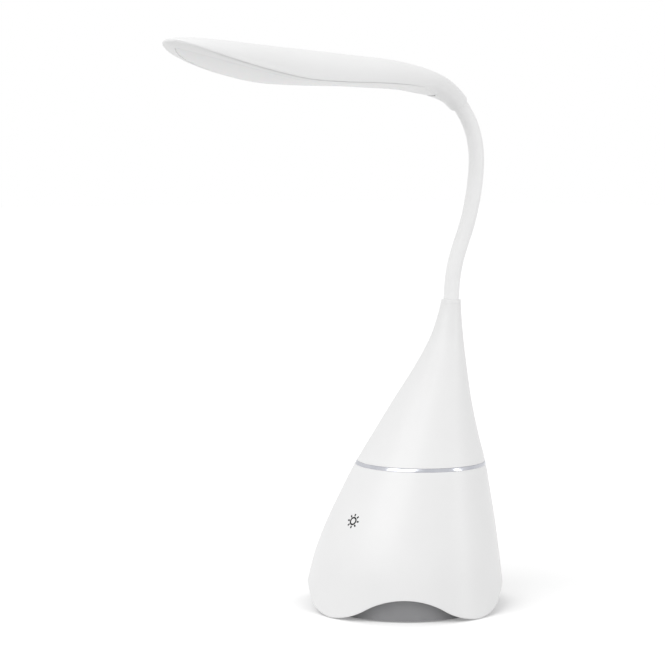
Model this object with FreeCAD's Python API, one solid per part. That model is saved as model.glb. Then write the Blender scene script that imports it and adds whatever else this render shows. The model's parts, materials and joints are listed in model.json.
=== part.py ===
import FreeCAD, Part
import math
import os

# Rechargeable desk lamp: a leaning cone base on four lobes, a bendable neck and a leaf shaped LED head.
# All lengths are in millimetres. The origin is the middle of the base on the table, the head points to -X.

# Cone body, as circles stacked on an axis that leans back
BODY_HEIGHT = 201.5          # table to the top of the collar
FLARE_RADIUS = 68.0          # the body's circle where it would meet the table
TOP_SET_BACK = 43.6          # how far the top circle stands behind the bottom one
COLLAR_WALL = 1.08           # around the neck at the body's narrow top
# height share, set-back share, radius as a share of the way from the collar out to the flare
BODY_SHARES = (
    (0.0, 0.0, 1.0),
    (0.08, 0.011, 0.951),
    (0.174, 0.05, 0.893),
    (0.273, 0.133, 0.81),
    (0.372, 0.235, 0.707),
    (0.467, 0.342, 0.6),
    (0.571, 0.463, 0.454),
    (0.67, 0.597, 0.321),
    (0.769, 0.759, 0.193),
    (0.868, 0.899, 0.084),
    (0.943, 0.964, 0.029),
    (1.0, 1.0, 0.0),
)
LOFT_STEP = 14.0             # spacing of the circles that a body loft runs through
SHELL_WALL = 2.4
OVERRUN = 3.0                # how far a cutting shape runs past what it cuts
VOLUME_SLACK_SHARE = 0.00001 # most that joining a solid's split faces may change its volume

# Lower shell
TABLE_GAP = 0.6              # the lobes end just above the table
LOBES = 4
ARCH_HEIGHT = 14.6
ARCH_WIDTH_SHARE = 0.967     # an arch's width, as a share of the straight line between two lobes
ARCH_RUN_OUT = 0.3           # an arch's feet level out this far below the lobes' ends
RING_BOTTOM = 93.0
RING_HEIGHT = 2.2
RING_DEPTH = 3.4
RING_PROUD = 0.12
SHELF_THICKNESS = 3.0
SHELF_BRIDGE = 4.5           # from the circle of the cone's screws in to the shelf's hole
FIT = 0.15                   # clearance of pieces that seat in each other

# Bottom cover, a pan that closes the base behind the arches
COVER_GAP = 0.8              # between the cover's rim and the shell's wall
COVER_LIFT = 1.0
COVER_FLOOR = 2.2
COVER_WALL = 2.0
COVER_HEIGHT = 21.0
PAD_WIDTH = 9.0
PAD_THICKNESS = 2.0
PAD_MARGIN = 2.85            # between the pad's groove and the screw heads around it
BOSS_RADIUS = 4.0
BOSS_MARGIN = 1.5            # between a boss and the cover's wall
BOSS_TOP = 52.0
RIB_WIDTH = 2.0
RIB_CLEARANCE = 1.5
PILOT_RADIUS = 1.3
PILOT_DEPTH = 9.0

# Small screws
SCREW_RADIUS = 1.2
SCREW_HEAD_RADIUS = 2.5
SCREW_HEAD_HEIGHT = 1.4
SCREW_LENGTH = 8.0
SLOT_DEPTH_SHARE = 0.5       # of the head's height
SLOT_WIDTH_SHARE = 0.32      # of the head's radius

# Counterweight
WEIGHT_RADIUS = 36.0
WEIGHT_HEIGHT = 12.0
WEIGHT_SCREW_INSET = 10.0
WEIGHT_SCREWS = 3

# Battery and its cradle
CELL_RADIUS = 9.1
CELL_LENGTH = 65.0
CELL_FIT = 0.05
CELL_END_GAP = 0.9
CELL_TIP_RADIUS = 3.0
CELL_TIP_HEIGHT = 0.6
CRADLE_WALL = 1.8
CRADLE_GAP = 5.1             # between the cradle and the rear screw bosses

# Main board
BOARD_LENGTH = 30.0
BOARD_WIDTH = 44.0
BOARD_THICKNESS = 1.6
BOARD_GAP = 5.6              # between the board and the cradle
STANDOFF_HEIGHT = 8.0
STANDOFF_RADIUS = 2.2
STUD_DEPTH = 3.0
STUD_HOLE_DEPTH = 4.5
BOARD_SCREW_LENGTH = 4.0
BOARD_INSET = 3.5
CHIP_SIZE = 7.0
CHIP_HEIGHT = 1.4
CHIP_SPREAD_SHARE = 0.2      # of the board's width

# Charging inlet in the rear of the lower shell
INLET_HEIGHT = 31.0
INLET_WIDTH = 7.6
INLET_TALL = 2.8
INLET_DEPTH = 5.6
INLET_LIP = 0.4
PORT_BOARD_LENGTH = 12.0
PORT_BOARD_WIDTH = 15.0
PORT_BOARD_THICKNESS = 1.2
PORT_BOARD_GAP = 0.7         # between the port's board and the middle of the rear wall
PORT_LEDGE = 3.0

# Touch key: a sun sign on the front of the lower shell with a sensing disc behind it
KEY_HEIGHT = 61.0
KEY_RING_RADIUS = 2.9
KEY_STROKE = 0.85
KEY_RAYS = 8
KEY_RAY_START = 3.55
KEY_RAY_END = 4.85
KEY_DEPTH = 0.3
SENSOR_RADIUS = 9.0
SENSOR_THICKNESS = 1.2
SENSOR_BOSS_RADIUS = 7.0
SENSOR_DEPTH = 3.6

# Upper cone
CONE_REGISTER = 2.6          # depth of the spigot that centres the cone in the shelf
CONE_CAVITY_TOP = 172.0
SEAT_RISE = 2.4
CONE_SCREWS = 3
CONE_SCREW_INSET = 8.0       # from the trim ring's bore in to the circle of the cone's screws
CONE_BOSS_HEIGHT = 12.0
COLLAR_HEIGHT = 2.6

# Neck route, from the top of the collar: straight, bend, straight, bend, bend
NECK_LEAN = 5.0
NECK_START = 8.7
RISE_RADIUS = 73.4
RISE_TURN = 19.8
NECK_STRAIGHT = 13.4
SWAY_RADIUS = 125.0
SWAY_TURN = 21.6
HOOK_RADIUS = 49.7
HOOK_TURN = 53.1
# distance along the neck of each joint, as a share of the neck's visible length
JOINT_SHARES = (0.085, 0.285, 0.485, 0.685, 0.885)
SLEEVE_RADIUS = 5.2
BALL_RADIUS = 5.45
CUP_GAP = 0.1
CORE_RADIUS = 3.4
CORE_BORE = 1.9
WIRE_RADIUS = 1.4
SLEEVE_SINK = 4.0            # the soft sleeve runs this far into the collar
ANCHOR_SINK = 21.0           # the anchor reaches this far below the collar's top
ANCHOR_FLANGE = 4.0          # wall between the anchor's shoulder and its nut
ANCHOR_TAIL_RADIUS = 4.0
NUT_HEIGHT = 4.0
NUT_RADIUS = 6.0
NUT_ROOM = 0.8
STRAIGHT_ENOUGH = 0.001      # degrees of turn below which a stretch of the neck is straight
SOCKET_DEPTH = 11.0          # the head grips the neck's core over this length

# Head, as sections from the neck end to the tip
HEAD_REACH = 246.8           # neck end to tip, measured level
HEAD_LIFT = 31.7             # the tip above the neck end
HEAD_HALF_WIDTH = 26.8
HEAD_CROWN = 19.7
HEAD_BELLY = 2.6
HEAD_END_RADIUS = 6.65
# reach share, lift share, half width share, crown share, belly share, parting line's share of the belly
LEAF_SHARES = (
    (0.1225, 0.366, 0.478, 0.487, 2.43, 0.86),
    (0.195, 0.334, 0.634, 0.721, 1.08, 0.5),
    (0.2925, 0.334, 0.802, 0.843, 0.77, 0.25),
    (0.406, 0.338, 0.933, 0.898, 0.77, 0.25),
    (0.5275, 0.325, 0.989, 0.99, 0.77, 0.25),
    (0.649, 0.356, 1.0, 1.0, 0.85, 0.25),
    (0.7625, 0.483, 0.97, 0.858, 0.92, 0.25),
    (0.8517, 0.628, 0.896, 0.675, 1.0, 0.25),
    (0.9165, 0.76, 0.765, 0.482, 1.0, 0.25),
    (0.957, 0.861, 0.616, 0.315, 0.92, 0.25),
    (0.9814, 0.931, 0.448, 0.183, 0.77, 0.25),
    (0.9943, 0.978, 0.28, 0.086, 0.58, 0.25),
    (1.0, 1.0, 0.112, 0.046, 0.35, 0.25),
)
# the curved end by the neck, in shares of the end radius: reach share, lift share, half width share,
# crown share, belly share, tilt as a share of the neck's slope, parting line's share of the belly
END_SHARES = (
    (0.0, 0.0, 1.0, 1.0, 1.0, 1.0, 1.0),
    (0.033, 0.18, 1.14, 1.05, 1.04, 0.86, 1.0),
    (0.0737, 0.303, 1.44, 1.2, 1.08, 0.6, 0.95),
)
LEAF_TILT_SHARE = 0.28       # tilt of the first leaf section, as a share of the neck's slope
HEAD_WALL = 2.0
CAVITY_STOP = 4              # the cavity ends this many sections before the tip
PARTING_REACH_SHARE = 0.098  # where the underside ends near the neck
BEZEL_WIDTH = 4.2
PANEL_GAP = 0.15
PANEL_END_SHARES = (0.215, 0.972)
LIP_HEIGHT = 2.0
LIP_OVERLAP = 0.6

# LED strip in the head
STRIP_LENGTH = 104.0
STRIP_WIDTH = 16.0
STRIP_THICKNESS = 1.4
STRIP_REACH_SHARE = 0.47
STRIP_RISE = 6.5
LED_COUNT = 10               # in each of two rows
LED_ROW_SHARE = 0.3
LED_SIZE = 3.0
LED_HEIGHT = 0.9
POST_RADIUS = 2.6
POST_SPREAD_SHARE = 0.4
STRIP_SCREW_LENGTH = 3.6
DUCT_ROOM = 0.8
DUCT_KNEE = 4.5

# Leads inside the lamp
PATH_SHARE = 0.45            # of the shorter run that an arc takes up at a corner
THIN_WIRE_RADIUS = 0.98
LAMP_LEAD_RISE = 39.0
LAMP_LEAD_DROP = 32.0
BATTERY_LEAD_RISE = 14.6
BATTERY_LEAD_DROP = 9.1
KEY_LEAD_RISE = 14.6
KEY_LEAD_RUN = 9.1
PORT_LEAD_RISE = 20.0
PORT_LEAD_DROP = 10.9
LEAD_SPREAD_SHARE = 0.333    # where a lead lands, as a share of its board's size
PORT_LEAD_SHARE = 0.25       # where it lands on the port's board, from the board's outer end


def vec(x, y, z):
    return FreeCAD.Vector(x, y, z)


UP = vec(0, 0, 1)
ACROSS = vec(0, 1, 0)


def merged(shape):
    """The solid with its split faces joined, where that keeps it whole."""
    plain = shape.copy().removeSplitter()
    kept = plain.isValid() and abs(plain.Volume / shape.Volume - 1) < VOLUME_SLACK_SHARE
    return plain if kept else shape


def save(shape, name):
    """Writes one piece, or a group of like pieces, to its own file."""
    shape = merged(shape) if len(shape.Solids) == 1 else shape
    shape.exportStep("parts/" + name + ".step")
    print(name, len(shape.Solids), round(shape.Volume, 1), shape.isValid())


def group(shapes):
    return Part.makeCompound([solid for shape in shapes for solid in shape.Solids])


def cylinder(radius, low, high, x=0.0, y=0.0):
    return Part.makeCylinder(radius, high - low, vec(x, y, low))


def box(x0, x1, y0, y1, z0, z1):
    return Part.makeBox(x1 - x0, y1 - y0, z1 - z0, vec(x0, y0, z0))


def polar(radius, turn):
    """A point at an angle in degrees from the front, counted towards -Y."""
    return -radius * math.cos(math.radians(turn)), -radius * math.sin(math.radians(turn))


def ring_of(radius, count):
    return [polar(radius, index * 360 / count) for index in range(count)]


def smooth(table, place, column):
    """Reads one column of a table at a place in its first column, on a smooth curve through its rows."""
    rows = list(table)
    index = 0
    while index < len(rows) - 2 and place > rows[index + 1][0]:
        index += 1

    def slope(row):
        before, after = rows[max(row - 1, 0)], rows[min(row + 1, len(rows) - 1)]
        return (after[column] - before[column]) / (after[0] - before[0])

    low, high = rows[index], rows[index + 1]
    span = high[0] - low[0]
    t = (place - low[0]) / span
    rise = high[column] - low[column]
    start, end = slope(index) * span, slope(index + 1) * span
    return low[column] + t * start + t * t * (3 * rise - 2 * start - end) + t ** 3 * (start + end - 2 * rise)


# Cone body


def body_centre(height):
    return TOP_SET_BACK * smooth(BODY_SHARES, height / BODY_HEIGHT, 1)


def collar_radius():
    return SLEEVE_RADIUS + FIT + COLLAR_WALL


def body_radius(height):
    spread = FLARE_RADIUS - collar_radius()
    return collar_radius() + spread * smooth(BODY_SHARES, height / BODY_HEIGHT, 2)


def body_circle(height, inset):
    circle = Part.makeCircle(body_radius(height) - inset, vec(body_centre(height), 0, height))
    return Part.Wire(circle)


def body_loft(low, high, inset=0.0):
    steps = max(2, round((high - low) / LOFT_STEP))
    heights = [low + (high - low) * step / steps for step in range(steps + 1)]
    return Part.makeLoft([body_circle(height, inset) for height in heights], True, False)


def wall_slope(height):
    """Angle of the front wall from upright, in degrees."""
    low, high = height - SHELL_WALL, height + SHELL_WALL
    move = (body_centre(high) - body_radius(high)) - (body_centre(low) - body_radius(low))
    return math.degrees(math.atan2(move, high - low))


def arch_turns():
    """Angles of the arches, midway between the lobes."""
    pitch = 360 / LOBES
    return [index * pitch + pitch / 2 for index in range(LOBES)]


def arch_cutter(turn):
    """One wide arch, an S on each side: a crest arc that runs into a foot arc."""
    half_width = FLARE_RADIUS * math.sin(math.pi / LOBES) * ARCH_WIDTH_SHARE
    low, top = TABLE_GAP - ARCH_RUN_OUT, TABLE_GAP + ARCH_HEIGHT
    arc_radius = (half_width ** 2 + (top - low) ** 2) / (4 * (top - low))
    lean = math.asin(half_width / (2 * arc_radius))

    def crest(angle):
        return vec(0, arc_radius * math.sin(angle), top - arc_radius * (1 - math.cos(angle)))

    def foot(side, angle):
        across = half_width - arc_radius * math.sin(angle)
        return vec(0, side * across, low + arc_radius * (1 - math.cos(angle)))

    left, right = foot(-1, 0), foot(1, 0)
    below = vec(0, 0, -OVERRUN)
    edges = [
        Part.Arc(left, foot(-1, lean / 2), foot(-1, lean)).toShape(),
        Part.Arc(crest(-lean), crest(0), crest(lean)).toShape(),
        Part.Arc(foot(1, lean), foot(1, lean / 2), right).toShape(),
        Part.makeLine(right, right + below),
        Part.makeLine(right + below, left + below),
        Part.makeLine(left + below, left),
    ]
    reach = FLARE_RADIUS + OVERRUN
    cutter = Part.Face(Part.Wire(edges)).extrude(vec(-reach, 0, 0))
    cutter.rotate(vec(0, 0, 0), UP, turn)
    return cutter


def cover_radius():
    """The largest round cover that clears the shell's front wall at the cover's rim."""
    rim = COVER_LIFT + COVER_HEIGHT
    return body_radius(rim) - body_centre(rim) - SHELL_WALL - COVER_GAP


def boss_circle():
    return cover_radius() - COVER_WALL - BOSS_RADIUS - BOSS_MARGIN


def boss_places():
    return [polar(boss_circle(), turn) for turn in arch_turns()]


def boss_rib(turn):
    """Rib that ties a screw boss to the wall, above the bottom cover's rim."""
    low = COVER_LIFT + COVER_HEIGHT + RIB_CLEARANCE
    rib = box(-FLARE_RADIUS, -boss_circle(), -RIB_WIDTH / 2, RIB_WIDTH / 2, low, BOSS_TOP)
    rib.rotate(vec(0, 0, 0), UP, turn)
    return rib


def ring_bore():
    return body_radius(RING_BOTTOM + RING_HEIGHT) - RING_DEPTH


def cone_screw_circle():
    return ring_bore() - CONE_SCREW_INSET


def shelf_hole_radius():
    return cone_screw_circle() - SHELF_BRIDGE


def cone_screw_places():
    centre = body_centre(RING_BOTTOM)
    return [(x + centre, y) for x, y in ring_of(cone_screw_circle(), CONE_SCREWS)]


def key_placement():
    """Frame of the touch key: origin on the front wall, Z outwards, X across the lamp."""
    slope = wall_slope(KEY_HEIGHT)
    origin = vec(body_centre(KEY_HEIGHT) - body_radius(KEY_HEIGHT), 0, KEY_HEIGHT)
    outward = vec(-math.cos(math.radians(slope)), 0, math.sin(math.radians(slope)))
    return origin, outward


def key_cylinder(radius, start, depth):
    """A disc behind the touch key, from a depth below the wall's surface inwards."""
    origin, outward = key_placement()
    return Part.makeCylinder(radius, depth, origin - outward * start, outward * -1)


def inlet_face():
    """X of the rear wall's outer surface at the charging inlet."""
    return body_centre(INLET_HEIGHT) + body_radius(INLET_HEIGHT)


def port_cutter(gap):
    half, tall = INLET_WIDTH / 2 + gap, INLET_TALL / 2 + gap
    face = inlet_face()
    low = INLET_HEIGHT - tall
    return box(face - INLET_DEPTH - OVERRUN, face + OVERRUN, -half, half, low, INLET_HEIGHT + tall)


def port_ledge():
    """Ledge on the rear wall that carries the port's board."""
    top = INLET_HEIGHT - INLET_TALL / 2 - PORT_BOARD_THICKNESS
    inner = inlet_face() - SHELL_WALL - PORT_BOARD_LENGTH
    half = PORT_BOARD_WIDTH / 2
    return box(inner, inlet_face(), -half, half, top - PORT_LEDGE, top)


def screw(x, y, head_face, length, radius, up):
    """A pan head screw with a slot, that points up or down from the outer face of its head."""
    way = UP if up else UP * -1
    head = Part.makeCylinder(SCREW_HEAD_RADIUS, SCREW_HEAD_HEIGHT, vec(x, y, head_face), way)
    shank = Part.makeCylinder(radius, length + SCREW_HEAD_HEIGHT, vec(x, y, head_face), way)
    depth = SCREW_HEAD_HEIGHT * SLOT_DEPTH_SHARE
    half = SCREW_HEAD_RADIUS * SLOT_WIDTH_SHARE / 2
    low = head_face if up else head_face - depth
    slot = box(x - SCREW_HEAD_RADIUS, x + SCREW_HEAD_RADIUS, y - half, y + half, low, low + depth)
    return head.fuse(shank).cut(slot)


def screws(places, head_face, length=SCREW_LENGTH, radius=SCREW_RADIUS, up=True):
    return group([screw(x, y, head_face, length, radius, up) for x, y in places])


def key_sign():
    """The sun sign as thin inlays: a ring and its rays, cut to the wall's own surface."""
    origin, outward = key_placement()
    depth = KEY_DEPTH + OVERRUN
    start = vec(0, 0, -depth)
    outer = Part.makeCylinder(KEY_RING_RADIUS, depth * 2, start)
    pieces = [outer.cut(Part.makeCylinder(KEY_RING_RADIUS - KEY_STROKE, depth * 2, start))]
    half = KEY_STROKE / 2
    for index in range(KEY_RAYS):
        ray = box(KEY_RAY_START, KEY_RAY_END, -half, half, -depth, depth)
        ray.rotate(vec(0, 0, 0), UP, index * 360 / KEY_RAYS)
        pieces.append(ray)
    turn = FreeCAD.Rotation(UP, outward)
    under_skin = body_loft(TABLE_GAP - OVERRUN, RING_BOTTOM + OVERRUN, KEY_DEPTH)
    skin = body_loft(TABLE_GAP, RING_BOTTOM).cut(under_skin)
    patch = skin.common(Part.makeSphere(KEY_RAY_END + OVERRUN, origin))
    inlays = []
    for piece in pieces:
        piece.Placement = FreeCAD.Placement(origin, turn).multiply(piece.Placement)
        inlays.append(piece.common(patch))
    return group(inlays)


def lower_shell(sign):
    shelf_low = RING_BOTTOM - SHELF_THICKNESS
    outer = body_loft(TABLE_GAP, RING_BOTTOM)
    shell = outer.cut(body_loft(TABLE_GAP - OVERRUN, shelf_low, SHELL_WALL))
    centre = body_centre(RING_BOTTOM)
    shell = shell.cut(cylinder(shelf_hole_radius(), shelf_low - OVERRUN, RING_BOTTOM + OVERRUN, centre))
    for turn in arch_turns():
        shell = shell.cut(arch_cutter(turn))
    boss_low = COVER_LIFT + COVER_FLOOR
    bosses = [cylinder(BOSS_RADIUS, boss_low, BOSS_TOP, x, y) for x, y in boss_places()]
    bosses += [boss_rib(turn) for turn in arch_turns()]
    bosses.append(port_ledge())
    bosses.append(key_cylinder(SENSOR_BOSS_RADIUS, 0, SENSOR_DEPTH))
    for boss in bosses:
        shell = shell.fuse(boss.common(outer))
    for x, y in boss_places():
        shell = shell.cut(cylinder(PILOT_RADIUS, boss_low - OVERRUN, boss_low + PILOT_DEPTH, x, y))
    for x, y in cone_screw_places():
        hole = cylinder(SCREW_RADIUS + FIT, shelf_low - OVERRUN, RING_BOTTOM + OVERRUN, x, y)
        shell = shell.cut(hole)
    return shell.cut(port_cutter(FIT)).cut(sign)


def trim_ring():
    low, high = RING_BOTTOM, RING_BOTTOM + RING_HEIGHT
    outer = body_loft(low, high, -RING_PROUD)
    return outer.cut(cylinder(ring_bore(), low - OVERRUN, high + OVERRUN, body_centre(low)))


def route_runs():
    """The neck's route as runs of (length, turn in degrees), where a turn of zero is straight."""
    def arc(radius, turn):
        return radius * math.radians(abs(turn)), turn
    return [
        (NECK_START, 0.0),
        arc(RISE_RADIUS, RISE_TURN),
        (NECK_STRAIGHT, 0.0),
        arc(SWAY_RADIUS, -SWAY_TURN),
        arc(HOOK_RADIUS, -HOOK_TURN),
    ]


def neck_length():
    return sum(length for length, turn in route_runs())


def lean_vector(lean):
    return vec(math.sin(math.radians(lean)), 0, math.cos(math.radians(lean)))


def advance(point, lean, length, turn):
    """The point and lean after a stretch of one run."""
    if turn == 0:
        return point + lean_vector(lean) * length, lean
    chord = 2 * math.sin(math.radians(turn) / 2) * length / math.radians(turn)
    return point + lean_vector(lean + turn / 2) * chord, lean + turn


def neck_at(distance):
    """Point on the neck's centre line and its lean from upright, at a distance from the collar's top."""
    point, lean = vec(TOP_SET_BACK, 0, BODY_HEIGHT), NECK_LEAN
    if distance < 0:
        return point + lean_vector(lean) * distance, lean
    for length, turn in route_runs():
        if distance <= length:
            return advance(point, lean, distance, turn * distance / length)
        point, lean = advance(point, lean, length, turn)
        distance -= length
    return point + lean_vector(lean) * distance, lean


def neck_wire(low, high):
    """Centre line of a stretch of the neck, as lines and arcs."""
    ends = [0.0]
    for length, turn in route_runs():
        ends.append(ends[-1] + length)
    places = [low] + [end for end in ends if low < end < high] + [high]
    edges = []
    for start, stop in zip(places, places[1:]):
        first, middle, last = (neck_at(place)[0] for place in (start, (start + stop) / 2, stop))
        straight = abs(neck_at(start)[1] - neck_at(stop)[1]) < STRAIGHT_ENOUGH
        edges.append(Part.makeLine(first, last) if straight else Part.Arc(first, middle, last).toShape())
    return Part.Wire(edges)


def neck_tube(low, high, radius):
    point, lean = neck_at(low)
    profile = Part.Wire(Part.makeCircle(radius, point, lean_vector(lean)))
    return neck_wire(low, high).makePipeShell([profile], True, False)


def joint_places():
    return [share * neck_length() for share in JOINT_SHARES]


def ball(index, radius):
    return Part.makeSphere(radius, neck_at(joint_places()[index])[0])


def neck_layers():
    """Sleeve, core and wire of each stretch between joints; a ball at its top turns in the next one's cup."""
    joints = joint_places()
    length = neck_length()
    lows = [None] + joints
    highs = joints + [None]
    stretches = []
    for index, (low, high) in enumerate(zip(lows, highs)):
        layers = []
        sinks = (SLEEVE_SINK, ANCHOR_SINK - FIT, ANCHOR_SINK - FIT)
        reaches = (SLEEVE_SINK / 2, SOCKET_DEPTH - FIT, SOCKET_DEPTH - FIT)
        radii = (SLEEVE_RADIUS, CORE_RADIUS, WIRE_RADIUS)
        bores = (CORE_RADIUS + FIT, CORE_BORE, None)
        for sink, reach, radius, bore in zip(sinks, reaches, radii, bores):
            start = -sink if low is None else low
            stop = length + reach if high is None else high
            past = stop if high is None else high + BALL_RADIUS * 2
            if high is None:
                solid = neck_tube(start, stop, radius)
            elif radius == SLEEVE_RADIUS:
                solid = neck_tube(start, stop, radius).fuse(ball(index, BALL_RADIUS))
            else:
                rounded = neck_tube(start, stop, SLEEVE_RADIUS).fuse(ball(index, BALL_RADIUS))
                solid = neck_tube(start, past, radius).common(rounded)
            if bore is not None:
                begin = start - OVERRUN if low is None else start
                solid = solid.cut(neck_tube(begin, past + OVERRUN, bore))
            if low is not None:
                solid = solid.cut(ball(index - 1, BALL_RADIUS + CUP_GAP))
            layers.append(solid)
        stretches.append(layers)
    return stretches


def upper_cone():
    low, high = RING_BOTTOM + RING_HEIGHT, BODY_HEIGHT - COLLAR_HEIGHT
    centre = body_centre(RING_BOTTOM)
    seat_top = low + SEAT_RISE
    outer = body_loft(low, high)
    cone = outer.cut(body_loft(seat_top, CONE_CAVITY_TOP, SHELL_WALL))
    cone = cone.fuse(cylinder(ring_bore() - FIT, RING_BOTTOM, seat_top, centre))
    register_radius = shelf_hole_radius() - FIT
    cone = cone.fuse(cylinder(register_radius, RING_BOTTOM - CONE_REGISTER, seat_top, centre))
    for x, y in cone_screw_places():
        boss = cylinder(BOSS_RADIUS, RING_BOTTOM, low + CONE_BOSS_HEIGHT, x, y)
        cone = cone.fuse(boss.common(outer.fuse(cone)))
    cable_way = register_radius - SHELL_WALL
    way_low = RING_BOTTOM - CONE_REGISTER - OVERRUN
    cone = cone.cut(cylinder(cable_way, way_low, seat_top + OVERRUN, centre))
    for x, y in cone_screw_places():
        cone = cone.cut(cylinder(PILOT_RADIUS, RING_BOTTOM - OVERRUN, RING_BOTTOM + PILOT_DEPTH, x, y))
    cone = cone.cut(neck_tube(-ANCHOR_SINK, 0, SLEEVE_RADIUS + FIT))
    nut_top = -ANCHOR_SINK - ANCHOR_FLANGE
    cone = cone.cut(neck_tube(nut_top - OVERRUN, -ANCHOR_SINK + OVERRUN, ANCHOR_TAIL_RADIUS + FIT))
    return cone.cut(neck_tube(nut_top - NUT_HEIGHT - OVERRUN * 2, nut_top, NUT_RADIUS + NUT_ROOM))


def neck_collar():
    low = BODY_HEIGHT - COLLAR_HEIGHT
    collar = body_loft(low, BODY_HEIGHT, -RING_PROUD)
    return collar.cut(neck_tube(-OVERRUN * 2, OVERRUN, SLEEVE_RADIUS + FIT))


def gooseneck_anchor():
    nut_top = -ANCHOR_SINK - ANCHOR_FLANGE
    tail_low = nut_top - NUT_HEIGHT - FIT
    anchor = neck_tube(-ANCHOR_SINK, -SLEEVE_SINK, SLEEVE_RADIUS)
    anchor = anchor.fuse(neck_tube(tail_low, -ANCHOR_SINK, ANCHOR_TAIL_RADIUS))
    anchor = anchor.cut(neck_tube(-ANCHOR_SINK, -SLEEVE_SINK + OVERRUN, CORE_RADIUS + FIT))
    return anchor.cut(neck_tube(tail_low - OVERRUN, -ANCHOR_SINK + OVERRUN, CORE_BORE))


def anchor_nut():
    nut_top = -ANCHOR_SINK - ANCHOR_FLANGE
    point, lean = neck_at(nut_top - NUT_HEIGHT)
    corners = [lean_frame(point, lean, *polar(NUT_RADIUS, index * 60)) for index in range(7)]
    nut = Part.Face(Part.makePolygon(corners)).extrude(lean_vector(lean) * NUT_HEIGHT)
    return nut.cut(neck_tube(nut_top - NUT_HEIGHT - OVERRUN, nut_top + OVERRUN, ANCHOR_TAIL_RADIUS))


def lean_frame(point, lean, along, across):
    """A point beside the neck's centre line, in the plane square to it."""
    side = vec(math.cos(math.radians(lean)), 0, -math.sin(math.radians(lean)))
    return point + side * along + ACROSS * across


# Base fittings


def pad_outer_radius():
    return boss_circle() - SCREW_HEAD_RADIUS - FIT - PAD_MARGIN


def pad_inner_radius():
    return pad_outer_radius() - PAD_WIDTH


def bottom_cover():
    low = COVER_LIFT
    cover = cylinder(cover_radius(), low, low + COVER_HEIGHT)
    inside = cover_radius() - COVER_WALL
    cover = cover.cut(cylinder(inside, low + COVER_FLOOR, low + COVER_HEIGHT + OVERRUN))
    groove = cylinder(pad_outer_radius() + FIT, low - OVERRUN, PAD_THICKNESS)
    cover = cover.cut(groove.cut(cylinder(pad_inner_radius() - FIT, low - OVERRUN, PAD_THICKNESS)))
    for x, y in boss_places() + weight_screw_places():
        cover = cover.cut(cylinder(SCREW_HEAD_RADIUS + FIT, low - OVERRUN, low + SCREW_HEAD_HEIGHT, x, y))
        cover = cover.cut(cylinder(SCREW_RADIUS + FIT, low, low + COVER_FLOOR + OVERRUN, x, y))
    return cover


def weight_screw_places():
    return ring_of(WEIGHT_RADIUS - WEIGHT_SCREW_INSET, WEIGHT_SCREWS)


def anti_slip_pad():
    pad = cylinder(pad_outer_radius(), 0, PAD_THICKNESS)
    return pad.cut(cylinder(pad_inner_radius(), -OVERRUN, PAD_THICKNESS + OVERRUN))


def counterweight():
    low, top = weight_low(), weight_top()
    weight = cylinder(WEIGHT_RADIUS, low, top)
    for x, y in weight_screw_places():
        weight = weight.cut(cylinder(SCREW_RADIUS, low - OVERRUN, low + PILOT_DEPTH, x, y))
    for x, y in standoff_places():
        weight = weight.cut(cylinder(SCREW_RADIUS, top - STUD_HOLE_DEPTH, top + OVERRUN, x, y))
    return weight


def weight_low():
    return COVER_LIFT + COVER_FLOOR


def weight_top():
    return weight_low() + WEIGHT_HEIGHT


def cell_place():
    """Middle of the battery cell, which lies across the base in front of the rear bosses."""
    rear = boss_circle() * math.cos(math.pi / LOBES) - BOSS_RADIUS - CRADLE_GAP
    half_width = CRADLE_WALL + CELL_RADIUS
    return vec(rear - half_width, 0, weight_top() + half_width)


def battery_cell():
    start = cell_place() - ACROSS * (CELL_LENGTH / 2)
    cell = Part.makeCylinder(CELL_RADIUS, CELL_LENGTH, start, ACROSS)
    tip = Part.makeCylinder(CELL_TIP_RADIUS, CELL_TIP_HEIGHT, start + ACROSS * CELL_LENGTH, ACROSS)
    return cell.fuse(tip)


def battery_cradle():
    middle = cell_place()
    half_length = CELL_LENGTH / 2 + CELL_END_GAP
    half_width = CELL_RADIUS + CRADLE_WALL
    wall_out = half_length + CRADLE_WALL
    cradle = box(middle.x - half_width, middle.x + half_width, -wall_out, wall_out, weight_top(), middle.z)
    start = middle - ACROSS * half_length
    return cradle.cut(Part.makeCylinder(CELL_RADIUS + CELL_FIT, half_length * 2, start, ACROSS))


def board_low():
    return weight_top() + STANDOFF_HEIGHT


def board_top():
    return board_low() + BOARD_THICKNESS


def board_middle():
    return cell_place().x - CELL_RADIUS - CRADLE_WALL - BOARD_GAP - BOARD_LENGTH / 2


def standoff_places():
    along = BOARD_LENGTH / 2 - BOARD_INSET
    across = BOARD_WIDTH / 2 - BOARD_INSET
    return [(board_middle() + i * along, j * across) for i in (-1, 1) for j in (-1, 1)]


def board_screw_radius():
    return SCREW_RADIUS - FIT * 2


def board_standoffs():
    base, top = weight_top(), board_low()
    posts = []
    for x, y in standoff_places():
        post = cylinder(STANDOFF_RADIUS, base, top, x, y)
        post = post.fuse(cylinder(SCREW_RADIUS - FIT, base - STUD_DEPTH, base, x, y))
        hole = cylinder(board_screw_radius() + FIT, top - BOARD_SCREW_LENGTH, top + OVERRUN, x, y)
        posts.append(post.cut(hole))
    return group(posts)


def main_board():
    x, half, across = board_middle(), BOARD_LENGTH / 2, BOARD_WIDTH / 2
    board = box(x - half, x + half, -across, across, board_low(), board_top())
    for place in standoff_places():
        board = board.cut(cylinder(SCREW_RADIUS + FIT, board_low() - OVERRUN, board_top() + OVERRUN, *place))
    return board


def board_chips():
    spread = BOARD_WIDTH * CHIP_SPREAD_SHARE
    half, top = CHIP_SIZE / 2, board_top()
    chips = []
    for x, y in ((board_middle() + CHIP_SIZE, -spread), (board_middle() - CHIP_SIZE, spread)):
        chips.append(box(x - half, x + half, y - half, y + half, top, top + CHIP_HEIGHT))
    return group(chips)


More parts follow.
